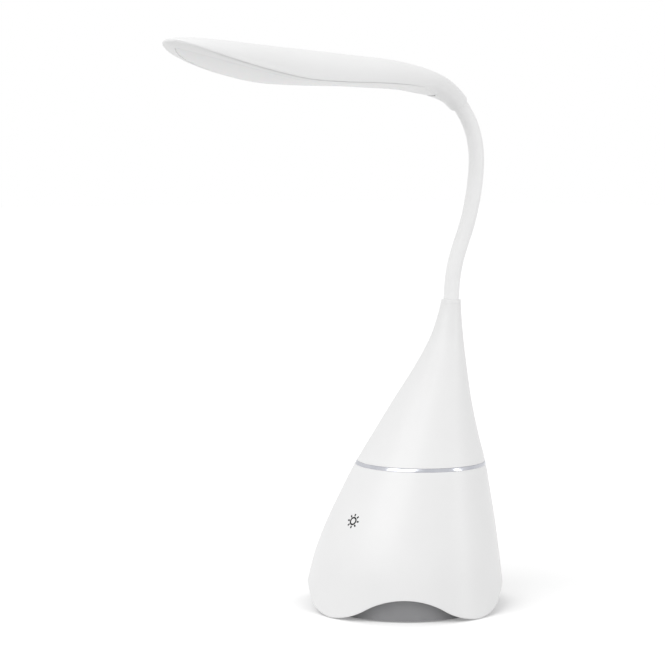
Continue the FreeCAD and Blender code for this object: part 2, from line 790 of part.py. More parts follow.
def board_screws():
    top = board_top() + SCREW_HEAD_HEIGHT
    length = BOARD_THICKNESS + BOARD_SCREW_LENGTH - FIT
    return screws(standoff_places(), top, length, board_screw_radius(), False)


def charging_port():
    face = inlet_face() - SHELL_WALL / 2
    half, tall = INLET_WIDTH / 2, INLET_TALL / 2
    back = face - INLET_DEPTH
    port = box(back, face, -half, half, INLET_HEIGHT - tall, INLET_HEIGHT + tall)
    half, tall = half - INLET_LIP, tall - INLET_LIP
    mouth = box(back + INLET_LIP, face + OVERRUN, -half, half, INLET_HEIGHT - tall, INLET_HEIGHT + tall)
    half -= INLET_LIP * 2
    tongue = box(back, face - INLET_LIP, -half, half, INLET_HEIGHT, INLET_HEIGHT + INLET_LIP)
    return port.cut(mouth).fuse(tongue)


def port_board():
    top = INLET_HEIGHT - INLET_TALL / 2
    inner = inlet_face() - SHELL_WALL - PORT_BOARD_LENGTH
    half = PORT_BOARD_WIDTH / 2 - FIT
    outer = inlet_face() - SHELL_WALL - PORT_BOARD_GAP
    return box(inner, outer, -half, half, top - PORT_BOARD_THICKNESS, top)


def touch_sensor():
    return key_cylinder(SENSOR_RADIUS, SENSOR_DEPTH, SENSOR_THICKNESS)


def rounded_path(points):
    """Straight runs joined by tangent arcs, each as large as its two runs allow."""
    edges = []
    last = points[0]
    for before, corner, after in zip(points, points[1:], points[2:]):
        run_in, run_out = (corner - before), (after - corner)
        turn = run_in.getAngle(run_out)
        radius = PATH_SHARE * min(run_in.Length, run_out.Length) / math.tan(turn / 2)
        cut = radius * math.tan(turn / 2)
        start = corner - run_in.normalize() * cut
        stop = corner + run_out.normalize() * cut
        inwards = start + stop - corner * 2
        depth = radius / math.cos(turn / 2) - radius
        middle = corner + inwards.normalize() * depth
        edges += [Part.makeLine(last, start), Part.Arc(start, middle, stop).toShape()]
        last = stop
    edges.append(Part.makeLine(last, points[-1]))
    return Part.Wire(edges)


def lead(points, radius=WIRE_RADIUS):
    start = (points[1] - points[0]).normalize()
    profile = Part.Wire(Part.makeCircle(radius, points[0], start))
    return rounded_path(points).makePipeShell([profile], True, False)


def board_point(along_share, across_share):
    """A place on top of the main board, from its middle."""
    return vec(board_middle() + BOARD_LENGTH * along_share, BOARD_WIDTH * across_share, board_top())


def lamp_lead():
    """The lead from the main board up through the shelf and the cone to the neck's anchor."""
    anchor, lean = neck_at(-ANCHOR_SINK - FIT * 2)
    first = board_point(0, 0)
    below = anchor - lean_vector(lean) * LAMP_LEAD_DROP
    return lead([first, first + UP * LAMP_LEAD_RISE, below, anchor])


def battery_lead():
    first = board_point(LEAD_SPREAD_SHARE, -LEAD_SPREAD_SHARE)
    last = cell_place() + UP * CELL_RADIUS - ACROSS * (CELL_LENGTH * LEAD_SPREAD_SHARE)
    above = last + UP * BATTERY_LEAD_DROP
    return lead([first, first + UP * BATTERY_LEAD_RISE, above, last], THIN_WIRE_RADIUS)


def key_lead():
    origin, outward = key_placement()
    first = board_point(-LEAD_SPREAD_SHARE, 0)
    last = origin - outward * (SENSOR_DEPTH + SENSOR_THICKNESS)
    return lead([first, first + UP * KEY_LEAD_RISE, last - outward * KEY_LEAD_RUN, last], THIN_WIRE_RADIUS)


def port_lead():
    first = board_point(LEAD_SPREAD_SHARE, LEAD_SPREAD_SHARE)
    inner = inlet_face() - SHELL_WALL - PORT_BOARD_LENGTH
    across = PORT_BOARD_WIDTH * LEAD_SPREAD_SHARE
    last = vec(inner + PORT_BOARD_LENGTH * PORT_LEAD_SHARE, across, INLET_HEIGHT - INLET_TALL / 2)
    return lead([first, first + UP * PORT_LEAD_RISE, last + UP * PORT_LEAD_DROP, last], THIN_WIRE_RADIUS)


# Head


def head_start():
    return neck_at(neck_length())


def head_point(reach_share, lift_share):
    start, lean = head_start()
    return vec(start.x - HEAD_REACH * reach_share, 0, start.z + HEAD_LIFT * lift_share)


def neck_slope():
    """Tilt from upright of the head's end face."""
    return 90 + head_start()[1]


def stations():
    """Sections of the head from the neck end to the tip: centre, tilt, half width, crown, belly, parting."""
    rows = []
    for reach, lift, width, crown, belly, tilt, parting in END_SHARES:
        sizes = [share * HEAD_END_RADIUS for share in (width, crown, belly)]
        rows.append((head_point(reach, lift), neck_slope() * tilt, *sizes, parting))
    for index, (reach, lift, width, crown, belly, parting) in enumerate(LEAF_SHARES):
        tilt = neck_slope() * LEAF_TILT_SHARE if index == 0 else 0.0
        sizes = (width * HEAD_HALF_WIDTH, crown * HEAD_CROWN, belly * HEAD_BELLY)
        rows.append((head_point(reach, lift), tilt, *sizes, parting))
    return rows


def half_ellipse(width, height):
    arc = Part.Arc(vec(0, 1, 0), vec(0, 0, 1), vec(0, -1, 0)).toShape()
    scale = FreeCAD.Matrix()
    scale.scale(1, width, height)
    return arc.transformGeometry(scale)


def section(station, inset=0.0):
    centre, tilt, width, crown, belly, parting = station
    upper = half_ellipse(width - inset, crown - inset)
    lower = half_ellipse(width - inset, belly + inset)
    lower.rotate(vec(0, 0, 0), vec(1, 0, 0), 180)
    wire = Part.Wire([upper, lower])
    wire.rotate(vec(0, 0, 0), ACROSS, tilt)
    wire.translate(centre)
    return wire


def head_loft():
    return Part.makeLoft([section(station) for station in stations()], True, False)


def head_cavity(inset):
    rows = stations()[len(END_SHARES):-CAVITY_STOP]
    return Part.makeLoft([section(station, inset) for station in rows], True, False)


def parting_points():
    points = []
    for centre, tilt, width, crown, belly, parting in stations()[len(END_SHARES) - 1:]:
        down = vec(-math.sin(math.radians(tilt)), 0, -math.cos(math.radians(tilt)))
        points.append(centre + down * (belly * parting))
    tip = points[-1]
    points.append(tip + (tip - points[-2]).normalize() * OVERRUN)
    return points


def parting_slab(low, high):
    """The space between two copies of the parting line, right across the head."""
    half = HEAD_HALF_WIDTH + OVERRUN
    lines = [[point + vec(0, -half, level) for point in parting_points()] for level in (high, low)]
    curves = []
    for line in lines:
        curve = Part.BSplineCurve()
        curve.interpolate(line)
        curves.append(curve.toShape())
    neck_end, tip_end = (Part.makeLine(lines[0][end], lines[1][end]) for end in (0, -1))
    face = Part.Face(Part.Wire([curves[0], tip_end, curves[1], neck_end]))
    return face.extrude(vec(0, half * 2, 0))


def underside_block(low, high):
    """The parting slab, cut off where the underside ends near the neck."""
    end = head_point(PARTING_REACH_SHARE, 0).x
    tip = head_point(1, 1)
    half = HEAD_HALF_WIDTH + OVERRUN * 2
    room = box(tip.x - OVERRUN * 2, end, -half, half, tip.z - HEAD_LIFT * 2, tip.z + HEAD_LIFT)
    return parting_slab(low, high).common(room)


def panel_prism(inset):
    """Upright prism over the light panel's outline, an inset of the leaf."""
    back_end, front_end = (panel_reach(share) for share in PANEL_END_SHARES)
    rows = [row for row in stations() if back_end > row[0].x > front_end]
    back = vec(back_end - inset, 0, 0)
    front = vec(front_end + inset, 0, 0)
    near = [vec(row[0].x, -(row[2] - BEZEL_WIDTH - inset), 0) for row in rows]
    far = [vec(point.x, -point.y, 0) for point in reversed(near)]
    curve = Part.BSplineCurve()
    curve.interpolate(Points=[back] + near + [front] + far, PeriodicFlag=True)
    face = Part.Face(Part.Wire(curve.toShape()))
    start = head_start()[0].z - HEAD_LIFT
    face.translate(vec(0, 0, start))
    return face.extrude(UP * HEAD_LIFT * 3)


def panel_reach(share):
    return head_point(share, 0).x


def strip_frame():
    """Middle of the LED strip's lower face."""
    place = head_point(STRIP_REACH_SHARE, 0)
    widest = head_point(0, LEAF_SHARES[3][1])
    return vec(place.x, 0, widest.z + STRIP_RISE)


def post_places():
    centre = strip_frame()
    spread = STRIP_LENGTH * POST_SPREAD_SHARE
    return [centre.x - spread, centre.x + spread]


def strip_screw_radius():
    return SCREW_RADIUS - FIT * 2


def head_shell(outer, cavity):
    shell = outer.cut(cavity)
    top = strip_frame().z + STRIP_THICKNESS
    for x in post_places():
        post = cylinder(POST_RADIUS, top, top + HEAD_CROWN, x)
        shell = shell.fuse(post.common(outer))
        pilot = cylinder(strip_screw_radius() + FIT, top - OVERRUN, top + STRIP_SCREW_LENGTH, x)
        shell = shell.cut(pilot)
    shell = shell.cut(underside_block(-HEAD_CROWN, 0))
    end = neck_length()
    shell = shell.cut(neck_tube(end - OVERRUN, end + SOCKET_DEPTH, SLEEVE_RADIUS + FIT))
    return shell.cut(head_duct(WIRE_RADIUS + DUCT_ROOM))


def duct_points():
    """Route of the lead from the neck's end to the LED strip."""
    start, lean = neck_at(neck_length() + SOCKET_DEPTH - OVERRUN)
    strip = strip_frame()
    end_x = strip.x + STRIP_LENGTH / 2 - POST_RADIUS
    strip_end = vec(end_x, 0, strip.z + STRIP_THICKNESS + THIN_WIRE_RADIUS)
    knee = start + lean_vector(lean) * DUCT_KNEE
    return [start, knee, vec(panel_reach(LEAF_SHARES[0][0]), 0, strip_end.z), strip_end]


def head_duct(radius):
    points = duct_points()
    return lead(points[:3] + [points[2] - vec(DUCT_KNEE, 0, 0)], radius)


def head_lead():
    start, lean = neck_at(neck_length() + SOCKET_DEPTH)
    return lead([start] + duct_points()[1:], THIN_WIRE_RADIUS)


def underside(outer):
    """Everything below the parting line, with a lip that locates it inside the shell."""
    lip = head_cavity(HEAD_WALL + FIT).common(underside_block(-LIP_OVERLAP, LIP_HEIGHT))
    return outer.common(underside_block(-HEAD_CROWN, 0)).fuse(lip)


def led_strip():
    frame = strip_frame()
    half, across = STRIP_LENGTH / 2, STRIP_WIDTH / 2
    strip = box(frame.x - half, frame.x + half, -across, across, frame.z, frame.z + STRIP_THICKNESS)
    for x in post_places():
        strip = strip.cut(cylinder(PILOT_RADIUS, frame.z - OVERRUN, frame.z + STRIP_THICKNESS + OVERRUN, x))
    return strip


def led_chips():
    frame = strip_frame()
    pitch = STRIP_LENGTH / LED_COUNT
    half = LED_SIZE / 2
    chips = []
    for index in range(LED_COUNT):
        x = frame.x - STRIP_LENGTH / 2 + (index + 0.5) * pitch
        for y in (-STRIP_WIDTH * LED_ROW_SHARE, STRIP_WIDTH * LED_ROW_SHARE):
            chips.append(box(x - half, x + half, y - half, y + half, frame.z - LED_HEIGHT, frame.z))
    return group(chips)


def strip_screws():
    frame = strip_frame()
    length = STRIP_THICKNESS + STRIP_SCREW_LENGTH - FIT
    places = [(x, 0) for x in post_places()]
    return screws(places, frame.z - SCREW_HEAD_HEIGHT, length, strip_screw_radius())


def head_socket():
    end = neck_length()
    socket = neck_tube(end + SLEEVE_SINK / 2 + FIT, end + SOCKET_DEPTH, SLEEVE_RADIUS)
    return socket.cut(neck_tube(end, end + SOCKET_DEPTH + OVERRUN, CORE_RADIUS + FIT))


def build():
    os.makedirs("parts", exist_ok=True)
    sign = key_sign()
    save(lower_shell(sign), "lower_shell")
    save(sign, "touch_sign")
    save(trim_ring(), "trim_ring")
    save(upper_cone(), "upper_cone")
    save(neck_collar(), "neck_collar")
    save(gooseneck_anchor(), "gooseneck_anchor")
    save(anchor_nut(), "anchor_nut")
    save(bottom_cover(), "bottom_cover")
    save(anti_slip_pad(), "anti_slip_pad")
    save(screws(boss_places(), COVER_LIFT), "cover_screws")
    save(screws(weight_screw_places(), COVER_LIFT), "weight_screws")
    save(screws(cone_screw_places(), RING_BOTTOM - SHELF_THICKNESS - SCREW_HEAD_HEIGHT), "cone_screws")
    save(counterweight(), "counterweight")
    save(battery_cell(), "battery_cell")
    save(battery_cradle(), "battery_cradle")
    save(board_standoffs(), "board_standoffs")
    save(main_board(), "main_board")
    save(board_chips(), "board_chips")
    save(board_screws(), "board_screws")
    save(charging_port(), "charging_port")
    save(port_board(), "port_board")
    save(touch_sensor(), "touch_sensor")
    save(lamp_lead(), "lamp_lead")
    save(battery_lead(), "battery_lead")
    save(key_lead(), "key_lead")
    save(port_lead(), "port_lead")

    for index, layers in enumerate(neck_layers()):
        for layer, name in zip(layers, ("sleeve", "core", "lead")):
            save(layer, "neck_" + name + "_" + str(index))

    outer = head_loft()
    save(head_shell(outer, head_cavity(HEAD_WALL)), "head_shell")
    lower = underside(outer)
    save(lower.cut(panel_prism(0)), "head_bezel")
    save(lower.common(panel_prism(PANEL_GAP)), "light_panel")
    save(led_strip(), "led_strip")
    save(led_chips(), "led_chips")
    save(strip_screws(), "strip_screws")
    save(head_socket(), "head_socket")
    save(head_lead(), "head_lead")


if __name__ == "__main__":
    build()
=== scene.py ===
import json
import math
from collections import namedtuple

import bmesh
import bpy
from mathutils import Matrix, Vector


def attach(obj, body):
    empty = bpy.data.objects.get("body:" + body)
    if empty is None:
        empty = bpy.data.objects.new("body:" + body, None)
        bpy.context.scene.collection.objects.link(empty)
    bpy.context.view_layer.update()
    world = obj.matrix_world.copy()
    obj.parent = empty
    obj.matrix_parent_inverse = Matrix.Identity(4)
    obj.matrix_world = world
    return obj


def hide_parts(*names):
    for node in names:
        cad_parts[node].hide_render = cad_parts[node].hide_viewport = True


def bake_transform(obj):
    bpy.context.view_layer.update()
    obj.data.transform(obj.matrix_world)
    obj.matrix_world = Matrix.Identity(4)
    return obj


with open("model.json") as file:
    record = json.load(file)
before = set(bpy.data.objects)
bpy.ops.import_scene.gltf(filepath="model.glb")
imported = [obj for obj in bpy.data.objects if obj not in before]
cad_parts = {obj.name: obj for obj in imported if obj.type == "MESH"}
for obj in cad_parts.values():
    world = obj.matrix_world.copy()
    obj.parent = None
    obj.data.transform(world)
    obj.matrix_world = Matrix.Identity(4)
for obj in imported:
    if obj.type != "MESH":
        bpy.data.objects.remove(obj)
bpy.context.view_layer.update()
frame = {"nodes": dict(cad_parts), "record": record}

# Desk lamp with a leaf shaped LED head on a bendable neck over a leaning cone base.
# Sizes are the lamp's own, in millimetres, or shares where the name says so. Meshes are written in metres.
MM = 0.001

# Cone body: height share, set-back share, radius as a share of the way from the collar out to the flare
BODY_HEIGHT = 201.5
FLARE_RADIUS = 68.0
TOP_SET_BACK = 43.6
COLLAR_RADIUS = 6.43
BODY_SHARES = (
    (0.0, 0.0, 1.0),
    (0.08, 0.011, 0.951),
    (0.174, 0.05, 0.893),
    (0.273, 0.133, 0.81),
    (0.372, 0.235, 0.707),
    (0.467, 0.342, 0.6),
    (0.571, 0.463, 0.454),
    (0.67, 0.597, 0.321),
    (0.769, 0.759, 0.193),
    (0.868, 0.899, 0.084),
    (0.943, 0.964, 0.029),
    (1.0, 1.0, 0.0),
)
SHELL_WALL = 2.4
TABLE_GAP = 0.6              # the lobes stop this far above the table
LOBES = 4
ARCH_HEIGHT = 14.6
ARCH_WIDTH_SHARE = 1.08      # an arch's width, as a share of the straight line between two lobes
ARCH_RUN_OUT = 0.3           # an arch's feet level out this far below the lobes' ends
RING_BOTTOM = 93.0
RING_HEIGHT = 2.2
RING_DEPTH = 3.4
RING_PROUD = 0.12            # how far the trim ring and the collar stand out of the wall
SHELF_THICKNESS = 3.0
SHELF_HOLE_RADIUS = 27.0
CONE_CAVITY_TOP = 172.0
COLLAR_HEIGHT = 2.6
EDGE_ROUND = 0.6             # rounding along the arches and lobes
SEAM_ROUND = 0.35            # rounding beside the trim ring, the collar and the light panel

# Charging inlet in the rear wall
INLET_HEIGHT = 31.0
INLET_WIDTH = 7.9
INLET_TALL = 3.1
INLET_CUT_WALLS = (-3, 2)    # how far the inlet's cutter reaches in and out, in walls of the shell

# Sun sign of the touch key
KEY_HEIGHT = 61.0
KEY_RING_RADIUS = 2.9
KEY_STROKE = 1.12
KEY_RAYS = 8
KEY_RAY_START = 3.3
KEY_RAY_END = 4.95
KEY_PRINT = 0.04             # how far the printed sign stands proud of the wall

# Neck route from the collar's top: length and turn in degrees of each run
NECK_LEAN = 5.0
NECK_RUNS = ((8.7, 0.0), (25.365, 19.8), (13.4, 0.0), (47.124, -21.6), (46.061, -53.1))
JOINT_SHARES = (0.085, 0.285, 0.485, 0.685, 0.885)
SLEEVE_RADIUS = 5.2
SLEEVE_SINK = 4.0            # how deep the sleeve goes into the collar, and a bore into the head
FIT = 0.15                   # play of the sleeve in its bores

# Head, measured from the neck's end to the tip
HEAD_REACH = 246.8
HEAD_LIFT = 31.7
HEAD_HALF_WIDTH = 26.8
HEAD_CROWN = 19.7
HEAD_BELLY = 2.6
HEAD_END_RADIUS = 6.65
HEAD_WALL = 2.0
HEAD_WALL_SHARE = 0.4        # the wall takes at most this share of the crown and of the half width
# reach share, lift share, half width share, crown share, belly share, parting line's share of the belly
LEAF_SHARES = (
    (0.1225, 0.366, 0.478, 0.487, 2.43, 0.86),
    (0.195, 0.334, 0.634, 0.721, 1.08, 0.5),
    (0.2925, 0.334, 0.802, 0.843, 0.77, 0.25),
    (0.406, 0.338, 0.933, 0.898, 0.77, 0.25),
    (0.5275, 0.325, 0.989, 0.99, 0.77, 0.25),
    (0.649, 0.356, 1.0, 1.0, 0.85, 0.25),
    (0.7625, 0.483, 0.97, 0.858, 0.92, 0.25),
    (0.8517, 0.628, 0.896, 0.675, 1.0, 0.25),
    (0.9165, 0.76, 0.765, 0.482, 1.0, 0.25),
    (0.957, 0.861, 0.616, 0.315, 0.92, 0.25),
    (0.9814, 0.931, 0.448, 0.183, 0.77, 0.25),
    (0.9943, 0.978, 0.28, 0.086, 0.58, 0.25),
    (1.0, 1.0, 0.112, 0.046, 0.35, 0.25),
)
# The same beside the neck, in shares of the end's radius, with a tilt share before the parting share
END_SHARES = (
    (0.0, 0.0, 1.0, 1.0, 1.0, 1.0, 1.0),
    (0.033, 0.18, 1.14, 1.05, 1.04, 0.86, 1.0),
    (0.0737, 0.303, 1.44, 1.2, 1.08, 0.6, 0.95),
)
LEAF_TILT_SHARE = 0.28       # what is left of the neck's tilt at the first row of the leaf
END_FACE_SHARE = 1.5         # the end's rounding is this many times as long as it is deep
UNDERSIDE_START = 0.098      # reach share at which the bezel begins
TIP_START = 0.9965           # reach share past which the tip is all shell
TIP_STOP = 0.998             # reach share at which the tip's rounding begins
TIP_ROUND = ((0.75, (-0.3, 0, 0.03)), (0.35, (-0.5, 0, 0.05)))     # size share and shift of each last ring

# Bezel and light panel under the head
PANEL_START, PANEL_END = 0.215, 0.978      # reach shares
PANEL_SQUARENESS = 5         # how late the panel's sides turn in towards its ends
PANEL_ROUNDNESS = 0.45       # how round its ends are
PANEL_GAP = 0.15
PANEL_RECESS = 0.15
PANEL_THICKNESS = 1.4
PANEL_END_SHARE = 0.0007     # gap at the panel's ends, as a share of its length
BEZEL_WIDTH = 4.2
BEZEL_STEPS = (0.04, 0.1, 0.2, 0.35, 0.5, 0.65, 0.8, 0.9, 0.97)    # places across the bezel's face
BEZEL_HEEL = 0.12            # where its inner face meets the parting level, as a share across
GROOVE = 0.45                # chamfer on both sides of the line between shell and bezel
SLOT_GAP = 0.6               # gap at the bezel's end, near the neck

# Fineness of the meshes
AROUND = 320                 # faces around the body
WALL_ROWS = 44               # rows of faces up the lower shell's outside
INNER_ROWS = 11              # rows of faces up a wall's inside
ROUND_STEPS = 4              # faces along a small rounding
SETTLE_STEPS = 8             # rounds in which an arch's height settles on the curved wall
INLET_END_STEPS = 12
SIGN_RING_SIDES = 64
RAY_CORNERS = (5, 3)         # corners along and across a ray of the sun sign
SLEEVE_SIDES = 64
SLEEVE_STEP = 0.7            # length of one ring of faces along the sleeve
SLEEVE_SQUARE = 0.03         # first and last ring, so that the ends are square to the neck and meet
OVER, BELOW = 72, 28         # points of a head section over the top and below it
END_RINGS, LEAF_RINGS, TIP_RINGS = 26, 120, 5
BEZEL_SIDE_STEPS, BEZEL_END_STEPS = 110, 26
PANEL_RINGS, PANEL_ACROSS = 90, 25
MERGE_GAP = 0.002            # corners closer than this are one
SPECK = 0.001                # edges shorter than this are dissolved

# Angles in degrees past which an edge is drawn sharp
SHARP = 35.0
RING_SHARP = 50.0
SIGN_SHARP = 60.0
HEAD_SHARP = 32.0
PANEL_SHARP = 40.0


# Shape helpers


def smooth(rows, place, column):
    """Reads one column of a table at a place in its first column, on a smooth curve through its rows."""
    index = 0
    while index < len(rows) - 2 and place > rows[index + 1][0]:
        index += 1

    def slope(row):
        before, after = rows[max(row - 1, 0)], rows[min(row + 1, len(rows) - 1)]
        return (after[column] - before[column]) / (after[0] - before[0])

    low, high = rows[index], rows[index + 1]
    span = high[0] - low[0]
    t = (place - low[0]) / span
    rise = high[column] - low[column]
    start, end = slope(index) * span, slope(index + 1) * span
    return low[column] + t * start + t * t * (3 * rise - 2 * start - end) + t ** 3 * (start + end - 2 * rise)


def spread(low, high, count):
    """Even places from low to high, both ends among them."""
    return [low + (high - low) * step / (count - 1) for step in range(count)]


def tapered(low, high, count):
    """Places from low to high that crowd towards both ends."""
    return [low + (high - low) * (1 - math.cos(math.pi * step / (count - 1))) / 2 for step in range(count)]


def rounded(corner, first, second, size):
    """Steps of a rounding at a corner of a profile, from the side of its first neighbour to its second."""
    corner, first, second = Vector(corner), Vector(first), Vector(second)
    start = corner + (first - corner).normalized() * size
    stop = corner + (second - corner).normalized() * size
    steps = []
    for t in spread(0, 1, ROUND_STEPS + 1):
        steps.append(start * (1 - t) ** 2 + corner * 2 * t * (1 - t) + stop * t * t)
    return [tuple(step) for step in steps]


def link(name, mesh):
    """A new object of a mesh, in the scene."""
    piece = bpy.data.objects.new(name, mesh)
    bpy.context.scene.collection.objects.link(piece)
    return piece


def dress(piece, material, sharp=SHARP):
    """Gives a piece its one material, and smooth shading but for edges past the sharp angle."""
    mesh = piece.data
    mesh.materials.clear()
    mesh.materials.append(material)
    mesh.polygons.foreach_set("use_smooth", [True] * len(mesh.polygons))
    mesh.set_sharp_from_angle(angle=math.radians(sharp))


def skin(name, rings, material, around=True, sharp=SHARP):
    """A closed skin over rings of equal length. Around joins the last ring to the first, or else the ends are
    closed. Corners that meet are merged and the faces point outwards."""
    count = len(rings[0])
    verts = [Vector(point) for ring in rings for point in ring]
    faces = []
    for row in range(len(rings) if around else len(rings) - 1):
        here, there = row * count, (row + 1) % len(rings) * count
        for index in range(count):
            after = (index + 1) % count
            faces.append((here + index, here + after, there + after, there + index))
    if not around:
        for row in (0, len(rings) - 1):
            verts.append(sum((Vector(point) for point in rings[row]), Vector()) / count)
            faces += [(row * count + index, row * count + (index + 1) % count, len(verts) - 1)
                      for index in range(count)]
    mesh = bpy.data.meshes.new(name)
    mesh.from_pydata([vert * MM for vert in verts], [], faces)
    work = bmesh.new()
    work.from_mesh(mesh)
    bmesh.ops.remove_doubles(work, verts=work.verts, dist=MERGE_GAP * MM)
    bmesh.ops.dissolve_degenerate(work, edges=work.edges, dist=SPECK * MM)
    bmesh.ops.recalc_face_normals(work, faces=work.faces)
    work.to_mesh(mesh)
    work.free()
    piece = link(name, mesh)
    dress(piece, material, sharp)
    return piece


def bake_modifiers(piece):
    """Turns a piece with modifiers, also one of geometry nodes, into a plain mesh."""
    seen = piece.evaluated_get(bpy.context.evaluated_depsgraph_get())
    mesh = bpy.data.meshes.new_from_object(seen)
    piece.modifiers.clear()
    piece.data = mesh
    mesh.name = piece.name


def place_piece(piece, body, slot, *nodes):
    """Lets a piece ride on a body, in the place of the solids that it dresses."""
    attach(piece, body)
    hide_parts(*nodes)


# Materials


def linear(text):
    """An sRGB hex colour as linear values."""
    values = [int(text[place:place + 2], 16) / 255 for place in (0, 2, 4)]
    return [v / 12.92 if v <= 0.04045 else ((v + 0.055) / 1.055) ** 2.4 for v in values] + [1.0]


def node(tree, kind, inputs=(), **settings):
    """Adds one node with its settings, and its inputs as values or as links from (node, output)."""
    made = tree.nodes.new(kind)
    for key, value in settings.items():
        setattr(made, key, value)
    for key, value in dict(inputs).items():
        if isinstance(value, tuple) and isinstance(value[0], bpy.types.Node):
            tree.links.new(value[0].outputs[value[1]], made.inputs[key])
        else:
            made.inputs[key].default_value = value
    return made


PATCH_EDGES = (0.3, 0.7)     # noise values at which a patch is all dark and all light
PATCH_DETAIL, GRAIN_DETAIL = 3.0, 2.0


def finish(name, light, dark, patch, rough, grain, relief, sockets):
    """A moulded, cast or plated finish. Colour drifts between two hexes over patches of some millimetres,
    the roughness drifts with it, and a fine grain in millimetres stands out by a relief in millimetres."""
    material = bpy.data.materials.new(name)
    material.use_nodes = True
    tree = material.node_tree
    tree.nodes.clear()
    place = node(tree, "ShaderNodeTexCoord")
    drift = node(tree, "ShaderNodeTexNoise", {
        "Vector": (place, "Object"), "Scale": 1 / (patch * MM), "Detail": PATCH_DETAIL})
    fine = node(tree, "ShaderNodeTexNoise", {
        "Vector": (place, "Object"), "Scale": 1 / (grain * MM), "Detail": GRAIN_DETAIL})
    ramp = node(tree, "ShaderNodeValToRGB", {"Fac": (drift, "Fac")})
    for stop, edge, colour in zip(ramp.color_ramp.elements, PATCH_EDGES, (dark, light)):
        stop.position, stop.color = edge, linear(colour)
    gloss = node(tree, "ShaderNodeMapRange", {
        "Value": (drift, "Fac"), "To Min": rough[0], "To Max": rough[1]})
    bump = node(tree, "ShaderNodeBump", {"Height": (fine, "Fac"), "Distance": relief * MM, "Strength": 1.0})
    shader = node(tree, "ShaderNodeBsdfPrincipled", {
        "Base Color": (ramp, "Color"), "Roughness": (gloss, "Result"), "Normal": (bump, "Normal"), **sockets})
    node(tree, "ShaderNodeOutputMaterial", {"Surface": (shader, "BSDF")})
    return material


METAL = {"Metallic": 1.0}
SILICONE = {"IOR": 1.42}
# Slot, then name, light and dark colour, patch, roughness, grain, relief and sockets of its finish
FINISHES = {
    # Satin white ABS, injection moulded in a finely spark eroded mould: soft highlights, no visible texture
    "satin_white_shell": finish("satin_white_abs", "F1F1F1", "EEEEEE", 60, (0.36, 0.42), 0.5, 0.003,
                                {"IOR": 1.53, "Specular IOR Level": 0.5}),
    # Bright chrome plate on a polished ring: soft reflections with faint polishing waves
    "chrome_trim": finish("bright_chrome_plate", "C8C9CF", "B7B9C0", 14, (0.15, 0.2), 2.5, 0.004, METAL),
    # White silicone sleeve, extruded: matt with a slight sheen at grazing angles
    "white_soft_sleeve": finish("white_silicone", "F9F9F9", "F5F5F5", 20, (0.5, 0.58), 0.6, 0.006,
                                {**SILICONE, "Sheen Weight": 0.15}),
    # Black pad printed ink: dense, matt, slightly grainy
    "black_sign": finish("black_print_ink", "0B0B0D", "060607", 2, (0.5, 0.6), 0.25, 0.004,
                         {"IOR": 1.5, "Specular IOR Level": 0.25}),
    # Grey ABS, moulded with a coarse texture: dull, with wide soft highlights. The cover is real, but its mid
    # grey is painted shade that darkens the hollow seen through the arches
    "grey_cover": finish("textured_grey_abs", "98989A", "909092", 25, (0.55, 0.65), 0.8, 0.02, {"IOR": 1.53}),
    # Dark grey silicone foam ring: dull and soft
    "grey_rubber": finish("grey_silicone_foam", "4B4C4F", "434447", 6, (0.75, 0.85), 0.7, 0.04, SILICONE),
    # Opal acrylic, diffusing: milky, with a satin surface
    "opal_panel": finish("opal_acrylic", "EAEAEA", "E6E6E6", 40, (0.3, 0.36), 0.5, 0.003,
                         {"IOR": 1.49, "Subsurface Weight": 0.1, "Subsurface Scale": 0.002}),
    # Zinc plated steel: bluish grey with spangled patches
    "steel": finish("zinc_plated_steel", "B9BBBF", "A3A6AB", 1.6, (0.28, 0.42), 0.4, 0.01, METAL),
    # Grey iron, cast in sand: dark, rough and grainy
    "cast_weight": finish("sand_cast_iron", "56575A", "424346", 7, (0.6, 0.75), 1.2, 0.12,
                          {"Metallic": 0.85}),
    # Green solder resist over copper: glossy, and faintly uneven from the glass cloth below
    "board_green": finish("green_solder_resist", "1F6B44", "17583A", 5, (0.25, 0.34), 0.9, 0.015,
                          {"IOR": 1.55}),
    # Black epoxy, moulded: matt, with a very fine grain
    "chip_black": finish("black_epoxy", "232325", "1B1B1D", 4, (0.45, 0.55), 0.3, 0.008, {"IOR": 1.55}),
    # Blue shrink sleeve of the battery cell: glossy film with soft waves
    "cell_wrap": finish("blue_shrink_film", "2C5C96", "264F84", 12, (0.22, 0.3), 3.0, 0.03, {"IOR": 1.52}),
    # Black silicone insulation, extruded: smooth and matt
    "wire_insulation": finish("black_silicone_insulation", "2A2A2C", "222224", 3, (0.5, 0.6), 0.4, 0.008,
                              SILICONE),
    # White solder resist of the LED board: satin, a slightly warm white
    "led_board_white": finish("white_solder_resist", "F0F0EC", "E6E6E1", 4, (0.3, 0.4), 0.5, 0.006,
                              {"IOR": 1.55}),
    # Yellow phosphor in silicone, cast over the LEDs: smooth, a warm yellow
    "led_phosphor": finish("phosphor_silicone", "F2DC7C", "EBCF62", 1.2, (0.3, 0.4), 0.3, 0.006, SILICONE),
    # Copper foil of the touch sensor, thinly tinned: warm metal with dulled highlights
    "sensor_copper": finish("tinned_copper_foil", "D3A27A", "C08E66", 3, (0.3, 0.42), 0.6, 0.01, METAL),
}
WHITE = FINISHES["satin_white_shell"]
CHROME = FINISHES["chrome_trim"]
SLEEVE = FINISHES["white_soft_sleeve"]
INK = FINISHES["black_sign"]
OPAL = FINISHES["opal_panel"]

for part in frame["record"]["subparts"]:
    carried = frame["nodes"][part["node"]]
    if carried.material_slots:
        for held in carried.material_slots:
            held.material = FINISHES[part["material_slot"]]
    else:
        carried.data.materials.append(FINISHES[part["material_slot"]])


# Routes of the cone body and the neck


def body_centre(height):
    """How far back the body's axis is at a height."""
    return TOP_SET_BACK * smooth(BODY_SHARES, height / BODY_HEIGHT, 1)


